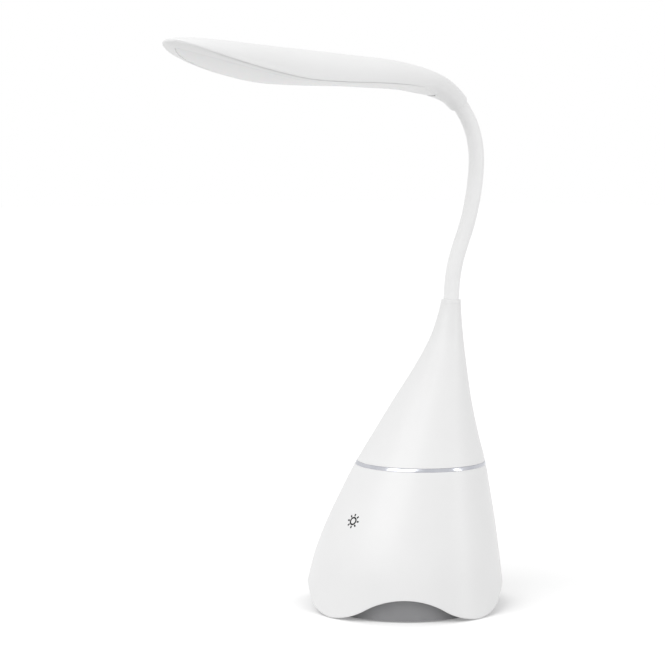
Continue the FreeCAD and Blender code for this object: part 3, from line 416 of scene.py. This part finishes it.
def body_radius(height):
    return COLLAR_RADIUS + (FLARE_RADIUS - COLLAR_RADIUS) * smooth(BODY_SHARES, height / BODY_HEIGHT, 2)


def body_point(turn, height, inset=0.0, radius=None):
    """A body point at a turn in radians from the front, at its surface less an inset or at a radius."""
    reach = body_radius(height) - inset if radius is None else radius
    return body_centre(height) - reach * math.cos(turn), -reach * math.sin(turn), height


def neck_point(distance, turn=0.0, radius=0.0):
    """A point beside the neck's centre line, at a distance from the collar's top. Before that and past the
    last run the line goes straight on."""
    x, z, lean, left = TOP_SET_BACK, BODY_HEIGHT, math.radians(NECK_LEAN), distance
    for length, bend in NECK_RUNS:
        step = min(left, length)
        part_bend = math.radians(bend) * step / length
        chord = step if bend == 0 else 2 * math.sin(part_bend / 2) / part_bend * step
        x += math.sin(lean + part_bend / 2) * chord
        z += math.cos(lean + part_bend / 2) * chord
        lean += part_bend
        left -= step
        if left <= 0:
            break
    x += math.sin(lean) * max(left, 0)
    z += math.cos(lean) * max(left, 0)
    along, across = radius * math.cos(turn), radius * math.sin(turn)
    return x + math.cos(lean) * along, across, z - math.sin(lean) * along


TURNS = [2 * math.pi * index / AROUND for index in range(AROUND)]
SLEEVE_BORE = SLEEVE_RADIUS + FIT


# Lower shell: a wall with arches between its lobes, a shelf on top and the inlet at the rear


def arch_edge(turn):
    """Height of the lower shell's edge at a turn in radians from the front."""
    pitch = 2 * math.pi / LOBES
    half = FLARE_RADIUS * math.sin(math.pi / LOBES) * ARCH_WIDTH_SHARE
    low, top = TABLE_GAP - ARCH_RUN_OUT, TABLE_GAP + ARCH_HEIGHT
    arc = (half ** 2 + (top - low) ** 2) / (4 * (top - low))
    off = abs((turn % pitch) - pitch / 2)
    height = TABLE_GAP
    for _ in range(SETTLE_STEPS):
        across = body_radius(max(height, 0)) * math.sin(off)
        if across < half / 2:
            height = top - arc + math.sqrt(arc ** 2 - across ** 2)
        elif across < half:
            height = low + arc - math.sqrt(arc ** 2 - (half - across) ** 2)
        else:
            height = low
    return max(height, TABLE_GAP)


def lower_profile(turn):
    """Profile of the lower shell at one turn, right round the wall and the shelf."""
    edge, top, shelf = arch_edge(turn), RING_BOTTOM, RING_BOTTOM - SHELF_THICKNESS
    lip_out, lip_in = (0.0, edge), (SHELL_WALL, edge)
    rows = rounded((0.0, top), (SHELL_WALL, top), (0.0, shelf), SEAM_ROUND)
    rows += [(0.0, height) for height in spread(top - SEAM_ROUND * 2, edge + EDGE_ROUND * 2, WALL_ROWS)]
    rows += rounded(lip_out, (0.0, top), lip_in, EDGE_ROUND)
    rows += rounded(lip_in, lip_out, (SHELL_WALL, top), EDGE_ROUND)
    rows += [(SHELL_WALL, height) for height in spread(edge + EDGE_ROUND * 2, shelf, INNER_ROWS)]
    points = [body_point(turn, height, inset) for inset, height in rows]
    return points + [body_point(turn, height, radius=SHELF_HOLE_RADIUS) for height in (shelf, top)]


def cut_inlet(piece):
    """Cuts the charging inlet, a slot with round ends, through the rear wall."""
    half, tall = INLET_WIDTH / 2, INLET_TALL / 2
    rim = []
    for side in (1, -1):
        for turn in spread(-math.pi / 2, math.pi / 2, INLET_END_STEPS):
            y, z = half - tall + math.cos(turn) * tall, math.sin(turn) * tall
            rim.append((side * y, INLET_HEIGHT + side * z))
    wall = body_centre(INLET_HEIGHT) + body_radius(INLET_HEIGHT)
    rings = [[(wall + SHELL_WALL * walls, y, z) for y, z in rim] for walls in INLET_CUT_WALLS]
    cutter = skin("inlet_cutter", rings, WHITE, around=False)
    cut = piece.modifiers.new("inlet", "BOOLEAN")
    cut.operation, cut.solver, cut.object = "DIFFERENCE", "EXACT", cutter
    bake_modifiers(piece)
    bpy.data.objects.remove(cutter)
    dress(piece, WHITE)


lower = skin("lower_shell_skin", [lower_profile(turn) for turn in TURNS], WHITE)
cut_inlet(lower)
place_piece(lower, "base", "satin_white_shell", "lower_shell")


# Trim ring, upper cone and collar: skins around the body's axis


def ring_profile(turn):
    low, high = RING_BOTTOM, RING_BOTTOM + RING_HEIGHT
    inner = RING_DEPTH + RING_PROUD
    rows = rounded((0.0, low), (inner, low), (0.0, high), SEAM_ROUND)
    rows += rounded((0.0, high), (0.0, low), (inner, high), SEAM_ROUND)
    rows += [(inner, high), (inner, low)]
    return [body_point(turn, height, inset - RING_PROUD) for inset, height in rows]


def cone_profile(turn):
    low, high = RING_BOTTOM + RING_HEIGHT, BODY_HEIGHT - COLLAR_HEIGHT
    rows = rounded((0.0, low), (SHELL_WALL, low), (0.0, high), SEAM_ROUND)
    rows += [(0.0, height) for height in spread(low + SEAM_ROUND * 2, high, WALL_ROWS + INNER_ROWS)]
    points = [body_point(turn, height, inset) for inset, height in rows]
    points += [neck_point(-depth, math.pi + turn, SLEEVE_BORE)
               for depth in (COLLAR_HEIGHT, BODY_HEIGHT - CONE_CAVITY_TOP)]
    return points + [body_point(turn, height, SHELL_WALL)
                     for height in spread(CONE_CAVITY_TOP, low, INNER_ROWS)]


def collar_profile(turn):
    low, high = BODY_HEIGHT - COLLAR_HEIGHT, BODY_HEIGHT
    wall = COLLAR_RADIUS + RING_PROUD - SLEEVE_BORE
    rows = rounded((-RING_PROUD, low), (wall, low), (-RING_PROUD, high), SEAM_ROUND / 2)
    rows += rounded((-RING_PROUD, high), (-RING_PROUD, low), (wall, high), SEAM_ROUND)
    points = [body_point(turn, height, inset) for inset, height in rows]
    return points + [neck_point(-depth, math.pi + turn, SLEEVE_BORE) for depth in (0.0, COLLAR_HEIGHT)]


ring = skin("chrome_ring", [ring_profile(turn) for turn in TURNS], CHROME, sharp=RING_SHARP)
place_piece(ring, "base", "chrome_trim", "trim_ring")
cone = skin("upper_cone_skin", [cone_profile(turn) for turn in TURNS], WHITE)
place_piece(cone, "base", "satin_white_shell", "upper_cone")
collar = skin("neck_collar_skin", [collar_profile(turn) for turn in TURNS[::2]], WHITE)
place_piece(collar, "base", "satin_white_shell", "neck_collar")


# Sun sign, made by geometry nodes: a ring and rays that repeat around it, then laid on the curved wall


def node_tree(name, inputs):
    """A geometry node tree with named inputs, given as pairs of a name and a kind, and its input node."""
    tree = bpy.data.node_groups.new(name, "GeometryNodeTree")
    tree.interface.new_socket("Geometry", in_out="OUTPUT", socket_type="NodeSocketGeometry")
    for label, kind in inputs:
        tree.interface.new_socket(label, in_out="INPUT", socket_type="NodeSocket" + kind)
    return tree, node(tree, "NodeGroupInput")


def close_tree(tree, given, shape):
    """Ends a tree: its instances are made real and take the material that its inputs name."""
    real = node(tree, "GeometryNodeRealizeInstances", {"Geometry": (shape, 0)})
    painted = node(tree, "GeometryNodeSetMaterial", {"Geometry": (real, 0), "Material": (given, "Material")})
    node(tree, "NodeGroupOutput", {0: (painted, 0)})


def grown(name, tree, values, material):
    """An object whose mesh a node tree grows from named inputs."""
    piece = link(name, bpy.data.meshes.new(name))
    maker = piece.modifiers.new(name, "NODES")
    maker.node_group = tree
    ids = {item.name: item.identifier for item in tree.interface.items_tree if item.in_out == "INPUT"}
    for label, value in {**values, "Material": material}.items():
        maker[ids[label]] = value
    bake_modifiers(piece)
    return piece


def sign_tree():
    """A flat sun sign around the origin, in millimetres."""
    tree, given = node_tree("sun_sign", [
        ("Ring radius", "Float"), ("Stroke", "Float"), ("Ray start", "Float"), ("Ray end", "Float"),
        ("Rays", "Int"), ("Print", "Float"), ("Material", "Material")])
    half = node(tree, "ShaderNodeMath", {0: (given, "Stroke"), 1: 0.5}, operation="MULTIPLY")
    middle = node(tree, "ShaderNodeMath", {0: (given, "Ring radius"), 1: (half, 0)}, operation="SUBTRACT")
    circle = node(tree, "GeometryNodeCurvePrimitiveCircle", {
        "Resolution": SIGN_RING_SIDES, "Radius": (middle, 0)})
    stroke = node(tree, "GeometryNodeCurvePrimitiveQuadrilateral", {
        "Width": (given, "Stroke"), "Height": (given, "Print")})
    ring_mesh = node(tree, "GeometryNodeCurveToMesh", {
        "Curve": (circle, "Curve"), "Profile Curve": (stroke, "Curve"), "Fill Caps": False})
    ends = {0: (given, "Ray end"), 1: (given, "Ray start")}
    length = node(tree, "ShaderNodeMath", ends, operation="SUBTRACT")
    both_ends = node(tree, "ShaderNodeMath", ends, operation="ADD")
    centre = node(tree, "ShaderNodeMath", {0: (both_ends, 0), 1: 0.5}, operation="MULTIPLY")
    size = node(tree, "ShaderNodeCombineXYZ", {
        "X": (length, 0), "Y": (given, "Stroke"), "Z": (given, "Print")})
    bar = node(tree, "GeometryNodeMeshCube", {
        "Size": (size, 0), "Vertices X": RAY_CORNERS[0], "Vertices Y": RAY_CORNERS[1]})
    shift = node(tree, "ShaderNodeCombineXYZ", {"X": (centre, 0)})
    ray = node(tree, "GeometryNodeTransform", {"Geometry": (bar, "Mesh"), "Translation": (shift, 0)})
    spots = node(tree, "GeometryNodeMeshLine", {"Count": (given, "Rays"), "Offset": (0.0, 0.0, 0.0)})
    index = node(tree, "GeometryNodeInputIndex")
    share = node(tree, "ShaderNodeMath", {0: (index, 0), 1: (given, "Rays")}, operation="DIVIDE")
    turn = node(tree, "ShaderNodeMath", {0: (share, 0), 1: 2 * math.pi}, operation="MULTIPLY")
    turned = node(tree, "ShaderNodeCombineXYZ", {"Z": (turn, 0)})
    rays = node(tree, "GeometryNodeInstanceOnPoints", {
        "Points": (spots, "Mesh"), "Instance": (ray, 0), "Rotation": (turned, 0)})
    both = node(tree, "GeometryNodeJoinGeometry")
    tree.links.new(rays.outputs[0], both.inputs[0])
    tree.links.new(ring_mesh.outputs[0], both.inputs[0])
    close_tree(tree, given, both)
    return tree


def lay_on_wall(piece):
    """Lays the flat sign on the front wall, at the key's height and along the wall's slope."""
    low, high = KEY_HEIGHT - SHELL_WALL, KEY_HEIGHT + SHELL_WALL
    run = body_centre(high) - body_radius(high) - body_centre(low) + body_radius(low)
    slope = math.atan2(run, high - low)
    for vert in piece.data.vertices:
        across, up, out = vert.co
        height = KEY_HEIGHT + up * math.cos(slope)
        turn = math.asin(across / body_radius(height))
        vert.co = Vector(body_point(turn, height, -out)) * MM


sign = grown("sun_sign", sign_tree(), {
    "Ring radius": KEY_RING_RADIUS, "Stroke": KEY_STROKE, "Ray start": KEY_RAY_START, "Ray end": KEY_RAY_END,
    "Rays": KEY_RAYS, "Print": KEY_PRINT}, INK)
lay_on_wall(sign)
dress(sign, INK, SIGN_SHARP)
place_piece(sign, "base", "black_sign", "touch_sign")


# Neck: one soft sleeve in five stretches. Geometry nodes sweep the tube


def sleeve_tree():
    """A closed tube along the edges of a line."""
    tree, given = node_tree("soft_sleeve", [
        ("Line", "Object"), ("Radius", "Float"), ("Sides", "Int"), ("Material", "Material")])
    line = node(tree, "GeometryNodeObjectInfo", {"Object": (given, "Line")})
    curve = node(tree, "GeometryNodeMeshToCurve", {"Mesh": (line, "Geometry")})
    outline = node(tree, "GeometryNodeCurvePrimitiveCircle", {
        "Resolution": (given, "Sides"), "Radius": (given, "Radius")})
    tube = node(tree, "GeometryNodeCurveToMesh", {
        "Curve": (curve, 0), "Profile Curve": (outline, "Curve"), "Fill Caps": True})
    close_tree(tree, given, tube)
    return tree


def sleeve_line(low, high):
    """The neck's centre line between two distances, with a very short first and last step."""
    stops = spread(low, high, round((high - low) / SLEEVE_STEP))
    stops = [low, low + SLEEVE_SQUARE] + stops[1:-1] + [high - SLEEVE_SQUARE, high]
    mesh = bpy.data.meshes.new("sleeve_line")
    mesh.from_pydata([Vector(neck_point(stop)) * MM for stop in stops],
                     [(step, step + 1) for step in range(len(stops) - 1)], [])
    return link("sleeve_line", mesh)


NECK_LENGTH = sum(length for length, bend in NECK_RUNS)
JOINTS = [share * NECK_LENGTH for share in JOINT_SHARES]
# Each stretch goes from the middle between two joints to the next middle, and the outer ones into their bores
SLEEVE_ENDS = [-SLEEVE_SINK] + [(low + high) / 2 for low, high in zip(JOINTS, JOINTS[1:])]
SLEEVE_ENDS.append(NECK_LENGTH + SLEEVE_SINK / 2)

sleeve_maker = sleeve_tree()
for index, joint in enumerate(JOINTS):
    low, high = SLEEVE_ENDS[index:index + 2]
    line = sleeve_line(low, high)
    piece = grown("neck_sleeve_skin_%d" % index, sleeve_maker,
                  {"Line": line, "Radius": SLEEVE_RADIUS * MM, "Sides": SLEEVE_SIDES}, SLEEVE)
    bpy.data.objects.remove(line)
    dress(piece, SLEEVE)
    reach = min(joint - max(low, 0), min(high, NECK_LENGTH) - joint)
    start, end = (Vector(neck_point(joint + side * reach)) * MM for side in (-1, 1))
    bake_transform(piece)
    replaced = ["neck_sleeve_%d" % index]
    if index == len(JOINTS) - 1:
        replaced.append("neck_sleeve_%d" % (index + 1))
    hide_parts(*replaced)


# Head: a leaf over sections, split at the parting line into shell, bezel and panel

NECK_END = neck_point(NECK_LENGTH)
END_TILT = 90 + NECK_LEAN + sum(bend for length, bend in NECK_RUNS)


def head_rows():
    """The head's sections from the neck's end to the tip: reach and lift shares, then half width, crown and
    belly in millimetres, tilt in degrees and parting share."""
    rows = []
    for reach, lift, width, crown, belly, tilt, parting in END_SHARES:
        size = HEAD_END_RADIUS
        rows.append((reach, lift, width * size, crown * size, belly * size, tilt * END_TILT, parting))
    for index, (reach, lift, width, crown, belly, parting) in enumerate(LEAF_SHARES):
        tilt = LEAF_TILT_SHARE * END_TILT if index == 0 else 0.0
        rows.append(
            (reach, lift, width * HEAD_HALF_WIDTH, crown * HEAD_CROWN, belly * HEAD_BELLY, tilt, parting))
    return rows


HEAD_ROWS = head_rows()
Section = namedtuple("Section", "lift width crown belly tilt parting")


def head_section(reach):
    """The head's section at a reach share, read from its rows. Width is half the section's width."""
    section = Section(*(smooth(HEAD_ROWS, reach, column) for column in range(1, 7)))
    return section._replace(parting=min(section.parting, 1.0))


def head_point(reach, across, up):
    """A point of the section at a reach share, across and up within that section, in millimetres."""
    section = head_section(reach)
    lean = math.radians(section.tilt)
    x = NECK_END[0] - HEAD_REACH * reach + math.sin(lean) * up
    return x, across, NECK_END[2] + HEAD_LIFT * section.lift + math.cos(lean) * up


def under(reach, across, raised=0.0):
    """A point of the head's underside, raised by some millimetres."""
    section = head_section(reach)
    depth = section.belly * math.sqrt(max(0.0, 1 - (across / section.width) ** 2))
    return head_point(reach, across, raised - depth)


def shell_ring(reach, open_below):
    """A section of the head's shell. Where it is open below, it goes over the top and back along a hollow
    inside, down to the parting line's level, or else it goes right round."""
    section = head_section(reach)
    width, crown, belly, parting = section.width, section.crown, section.belly, section.parting
    low = parting * belly
    groove = min(GROOVE, crown / 3) if open_below else 0.0
    level = groove - low
    start = math.asin(level / belly) if level < 0 else math.asin(level / crown)
    points = []
    for turn in spread(start, math.pi - start, OVER):
        high = crown if math.sin(turn) > 0 else belly
        points.append((width * math.cos(turn), high * math.sin(turn)))
    edge = width * math.sqrt(1 - parting ** 2) - groove
    points.append((-edge, -low))
    if open_below:
        wall = min(HEAD_WALL, crown * HEAD_WALL_SHARE, width * HEAD_WALL_SHARE)
        inner = min(width - wall, edge - wall / 4)
        points.append((-inner, -low))
        points += [(inner * math.cos(turn), (crown - wall) * math.sin(turn))
                   for turn in spread(math.pi, 0, BELOW - 2)]
        points.append((inner, -low))
    else:
        dip = math.asin(parting)
        points += [(width * math.cos(turn), belly * math.sin(turn))
                   for turn in spread(math.pi + dip, 2 * math.pi - dip, BELOW)]
    points.append((edge, -low))
    return [head_point(reach, across, up) for across, up in points]


def end_turns():
    """Across and up of each point of the head's first section, as seen from the neck's end, at length one."""
    lean = math.radians(END_TILT)
    turns = []
    for x, y, z in shell_ring(0.0, False):
        up = (x - NECK_END[0]) * math.sin(lean) + (z - NECK_END[2]) * math.cos(lean)
        size = math.hypot(up, y)
        turns.append((y / size, up / size))
    return turns


def neck_disc(turns, distance, radius):
    """A ring around the neck's centre line, whose points match those of a head section."""
    x, _, z = neck_point(distance)
    lean = math.radians(END_TILT)
    return [(x + math.sin(lean) * up * radius, across * radius, z + math.cos(lean) * up * radius)
            for across, up in turns]


def shrunk(ring, size_share, shift):
    """A ring made smaller around its middle and shifted."""
    middle = sum((Vector(point) for point in ring), Vector()) / len(ring)
    return [tuple(middle + (Vector(point) - middle) * size_share + Vector(shift)) for point in ring]


def head_shell_rings():
    """The bore for the sleeve, the end face, the closed end, the leaf that is open below, and the tip."""
    turns = end_turns()
    rings = [neck_disc(turns, distance, radius) for distance, radius in (
        (NECK_LENGTH + SLEEVE_SINK, SLEEVE_BORE), (NECK_LENGTH, SLEEVE_BORE),
        (NECK_LENGTH, HEAD_END_RADIUS - SEAM_ROUND))]
    closed = spread(0.0, UNDERSIDE_START, END_RINGS)
    closed[0] = SEAM_ROUND / HEAD_REACH * END_FACE_SHARE
    rings += [shell_ring(reach, False) for reach in closed]
    rings += [shell_ring(reach, True) for reach in tapered(UNDERSIDE_START, TIP_START, LEAF_RINGS)]
    rings += [shell_ring(reach, False) for reach in spread(TIP_START, TIP_STOP, TIP_RINGS)]
    return rings + [shrunk(rings[-1], size_share, shift) for size_share, shift in TIP_ROUND]


shell = skin("head_shell_skin", head_shell_rings(), WHITE, around=False, sharp=HEAD_SHARP)
place_piece(shell, "head", "satin_white_shell", "head_shell")


# Bezel between the parting line and the light panel


def panel_reach(share):
    """Reach share of the head at a share of the panel's own length."""
    return PANEL_START + (PANEL_END - PANEL_START) * share


def panel_half(share):
    """Half width of the light panel at a share of its own length."""
    blunt = max(0.0, 1 - abs(2 * share - 1) ** PANEL_SQUARENESS) ** PANEL_ROUNDNESS
    return max(0.0, head_section(panel_reach(share)).width - BEZEL_WIDTH) * blunt


def bezel_rim():
    """Pairs of an outer place on the parting line and an inner place on the panel's outline."""
    pairs = []
    sides = tapered(0.0, 1.0, BEZEL_SIDE_STEPS)
    start = UNDERSIDE_START + SLOT_GAP / HEAD_REACH
    for side, shares in ((-1, sides), (1, sides[::-1])):
        for share in shares:
            outer = start + (TIP_START - start) * share
            section = head_section(outer)
            edge = side * section.width * math.sqrt(1 - section.parting ** 2)
            pairs.append((outer, edge, panel_reach(share), side * panel_half(share)))
    first, last = pairs[0], pairs[-1]
    for share in spread(0, 1, BEZEL_END_STEPS)[1:-1]:
        pairs.append((first[0], last[1] + (first[1] - last[1]) * share, first[2], 0.0))
    return pairs


def bezel_section(outer, edge, inner, panel):
    """Points of the bezel from the parting line in to the panel, and back along its inner face."""
    section = head_section(outer)
    level = -section.belly * section.parting
    scale = 1 - GROOVE / max(abs(edge), GROOVE * 2)

    def between(share):
        return outer + (inner - outer) * share, edge + (panel - edge) * share

    points = [head_point(outer, edge * scale, level)]
    points += [under(*between(share)) for share in BEZEL_STEPS]
    points.append(under(inner, panel, SEAM_ROUND))
    points.append(under(inner, panel, PANEL_THICKNESS + PANEL_RECESS))
    points.append(under(*between(0.5), PANEL_THICKNESS + PANEL_RECESS / 2))
    heel = edge * scale + (panel - edge) * BEZEL_HEEL
    points.append(head_point(between(BEZEL_HEEL)[0], heel, level))
    return points


bezel = skin("head_bezel_skin", [bezel_section(*pair) for pair in bezel_rim()], WHITE, sharp=HEAD_SHARP)
place_piece(bezel, "head", "satin_white_shell", "head_bezel")


# Light panel


def panel_ring(share):
    """A section of the panel: its lower face with a small rounding at both sides, then its upper face."""
    reach = panel_reach(share)
    half = max(0.0, panel_half(share) - PANEL_GAP)
    turn_in = half - min(SEAM_ROUND, half)
    ring = [under(reach, -half, PANEL_RECESS + SEAM_ROUND / 2), under(reach, -turn_in, PANEL_RECESS)]
    ring += [under(reach, side * half, PANEL_RECESS) for side in spread(-1, 1, PANEL_ACROSS)[1:-1]]
    ring += [under(reach, turn_in, PANEL_RECESS), under(reach, half, PANEL_RECESS + SEAM_ROUND / 2)]
    return ring + [under(reach, side * half, PANEL_RECESS + PANEL_THICKNESS) for side in (1, 0, -1)]


panel_shares = tapered(PANEL_END_SHARE, 1 - PANEL_END_SHARE, PANEL_RINGS)
panel = skin("light_panel_skin", [panel_ring(share) for share in panel_shares], OPAL, around=False,
             sharp=PANEL_SHARP)
place_piece(panel, "head", "opal_panel", "light_panel")


# Studio: a white floor that keeps the shadow, soft light, and the camera of the photograph. Sizes in metres

SKY_LIGHT = 0.7              # light of the sky on the lamp; to the camera, mirrors and glass the sky is white
FLOOR_HALF = 12.0
FLOOR_COLOUR = "E2E2E2"      # what the floor throws back on the lamp
FLOOR_SHOWN_COLOUR = "F2F2F2"
FLOOR_LIFT = (0.25, 0.46)    # light that the floor gives to the camera, beside the lamp and far from it
LIFT_REACH = (0.12, 0.6)     # distances from the lamp between which that light grows
# Name, place, point that it faces, width and height, watts
LIGHTS = (
    ("key_upper_left", (-1.5, -0.05, 1.75), (0, 0, 0.15), (1.7, 1.7), 18.5),
    ("strip_right", (0.7, -1.4, 0.5), (0, 0, 0.12), (0.2, 1.2), 3.5),
)
CAMERA_PLACE = (-0.9192, -0.9192, 0.288)
CAMERA_HEADING = 42.876
CAMERA_DIP = 4.693
CAMERA_LENS, CAMERA_SENSOR = 106.65, 36.0


def shown_rays(tree):
    """One for camera, mirror and glass rays, zero for the rays that only light the lamp."""
    rays = node(tree, "ShaderNodeLightPath")
    first = node(tree, "ShaderNodeMath", {0: (rays, "Is Camera Ray"), 1: (rays, "Is Glossy Ray")},
                 operation="MAXIMUM")
    return node(tree, "ShaderNodeMath", {0: (first, 0), 1: (rays, "Is Transmission Ray")},
                operation="MAXIMUM")


def white_sky():
    world = bpy.data.worlds.new("studio")
    bpy.context.scene.world = world
    world.use_nodes = True
    tree = world.node_tree
    tree.nodes.clear()
    strength = node(tree, "ShaderNodeMapRange", {
        "Value": (shown_rays(tree), 0), "To Min": SKY_LIGHT, "To Max": 1.0})
    sky = node(tree, "ShaderNodeBackground", {"Color": linear("FFFFFF"), "Strength": (strength, 0)})
    node(tree, "ShaderNodeOutputWorld", {"Surface": (sky, 0)})


def white_floor_paint():
    """Matt white that looks brighter to the camera with the distance from the lamp, and keeps its shadow."""
    paint = bpy.data.materials.new("white_floor")
    paint.use_nodes = True
    tree = paint.node_tree
    tree.nodes.clear()
    matt = node(tree, "ShaderNodeBsdfDiffuse", {"Color": linear(FLOOR_COLOUR)})
    seen = node(tree, "ShaderNodeBsdfDiffuse", {"Color": linear(FLOOR_SHOWN_COLOUR)})
    spot = node(tree, "ShaderNodeTexCoord")
    away = node(tree, "ShaderNodeVectorMath", {0: (spot, "Object")}, operation="LENGTH")
    lift = node(tree, "ShaderNodeMapRange", {
        "Value": (away, "Value"), "From Min": LIFT_REACH[0], "From Max": LIFT_REACH[1],
        "To Min": FLOOR_LIFT[0], "To Max": FLOOR_LIFT[1]}, interpolation_type="SMOOTHSTEP")
    glow = node(tree, "ShaderNodeEmission", {"Color": linear("FFFFFF"), "Strength": (lift, "Result")})
    lifted = node(tree, "ShaderNodeAddShader", {0: (seen, 0), 1: (glow, 0)})
    mixed = node(tree, "ShaderNodeMixShader", {0: (shown_rays(tree), 0), 1: (matt, 0), 2: (lifted, 0)})
    node(tree, "ShaderNodeOutputMaterial", {"Surface": (mixed, 0)})
    return paint


def area_light(name, place, target, size, watts):
    light = bpy.data.lights.new(name, "AREA")
    light.shape, light.size, light.size_y, light.energy = "RECTANGLE", size[0], size[1], watts
    made = link(name, light)
    made.location = place
    made.rotation_euler = (Vector(target) - Vector(place)).to_track_quat("-Z", "Y").to_euler()


white_sky()
floor_mesh = bpy.data.meshes.new("floor")
corners = [(x * FLOOR_HALF, y * FLOOR_HALF, 0) for x, y in ((-1, -1), (1, -1), (1, 1), (-1, 1))]
floor_mesh.from_pydata(corners, [], [(0, 1, 2, 3)])
floor_mesh.materials.append(white_floor_paint())
floor = link("floor", floor_mesh)
for settings in LIGHTS:
    area_light(*settings)

lens = bpy.data.cameras.new("camera")
lens.lens, lens.sensor_width = CAMERA_LENS, CAMERA_SENSOR
camera = link("camera", lens)
camera.location = CAMERA_PLACE
camera.rotation_euler = (math.radians(90 - CAMERA_DIP), 0, -math.radians(CAMERA_HEADING))
bpy.context.scene.camera = camera
bpy.context.scene.view_settings.view_transform = "Standard"

bpy.context.view_layer.update()
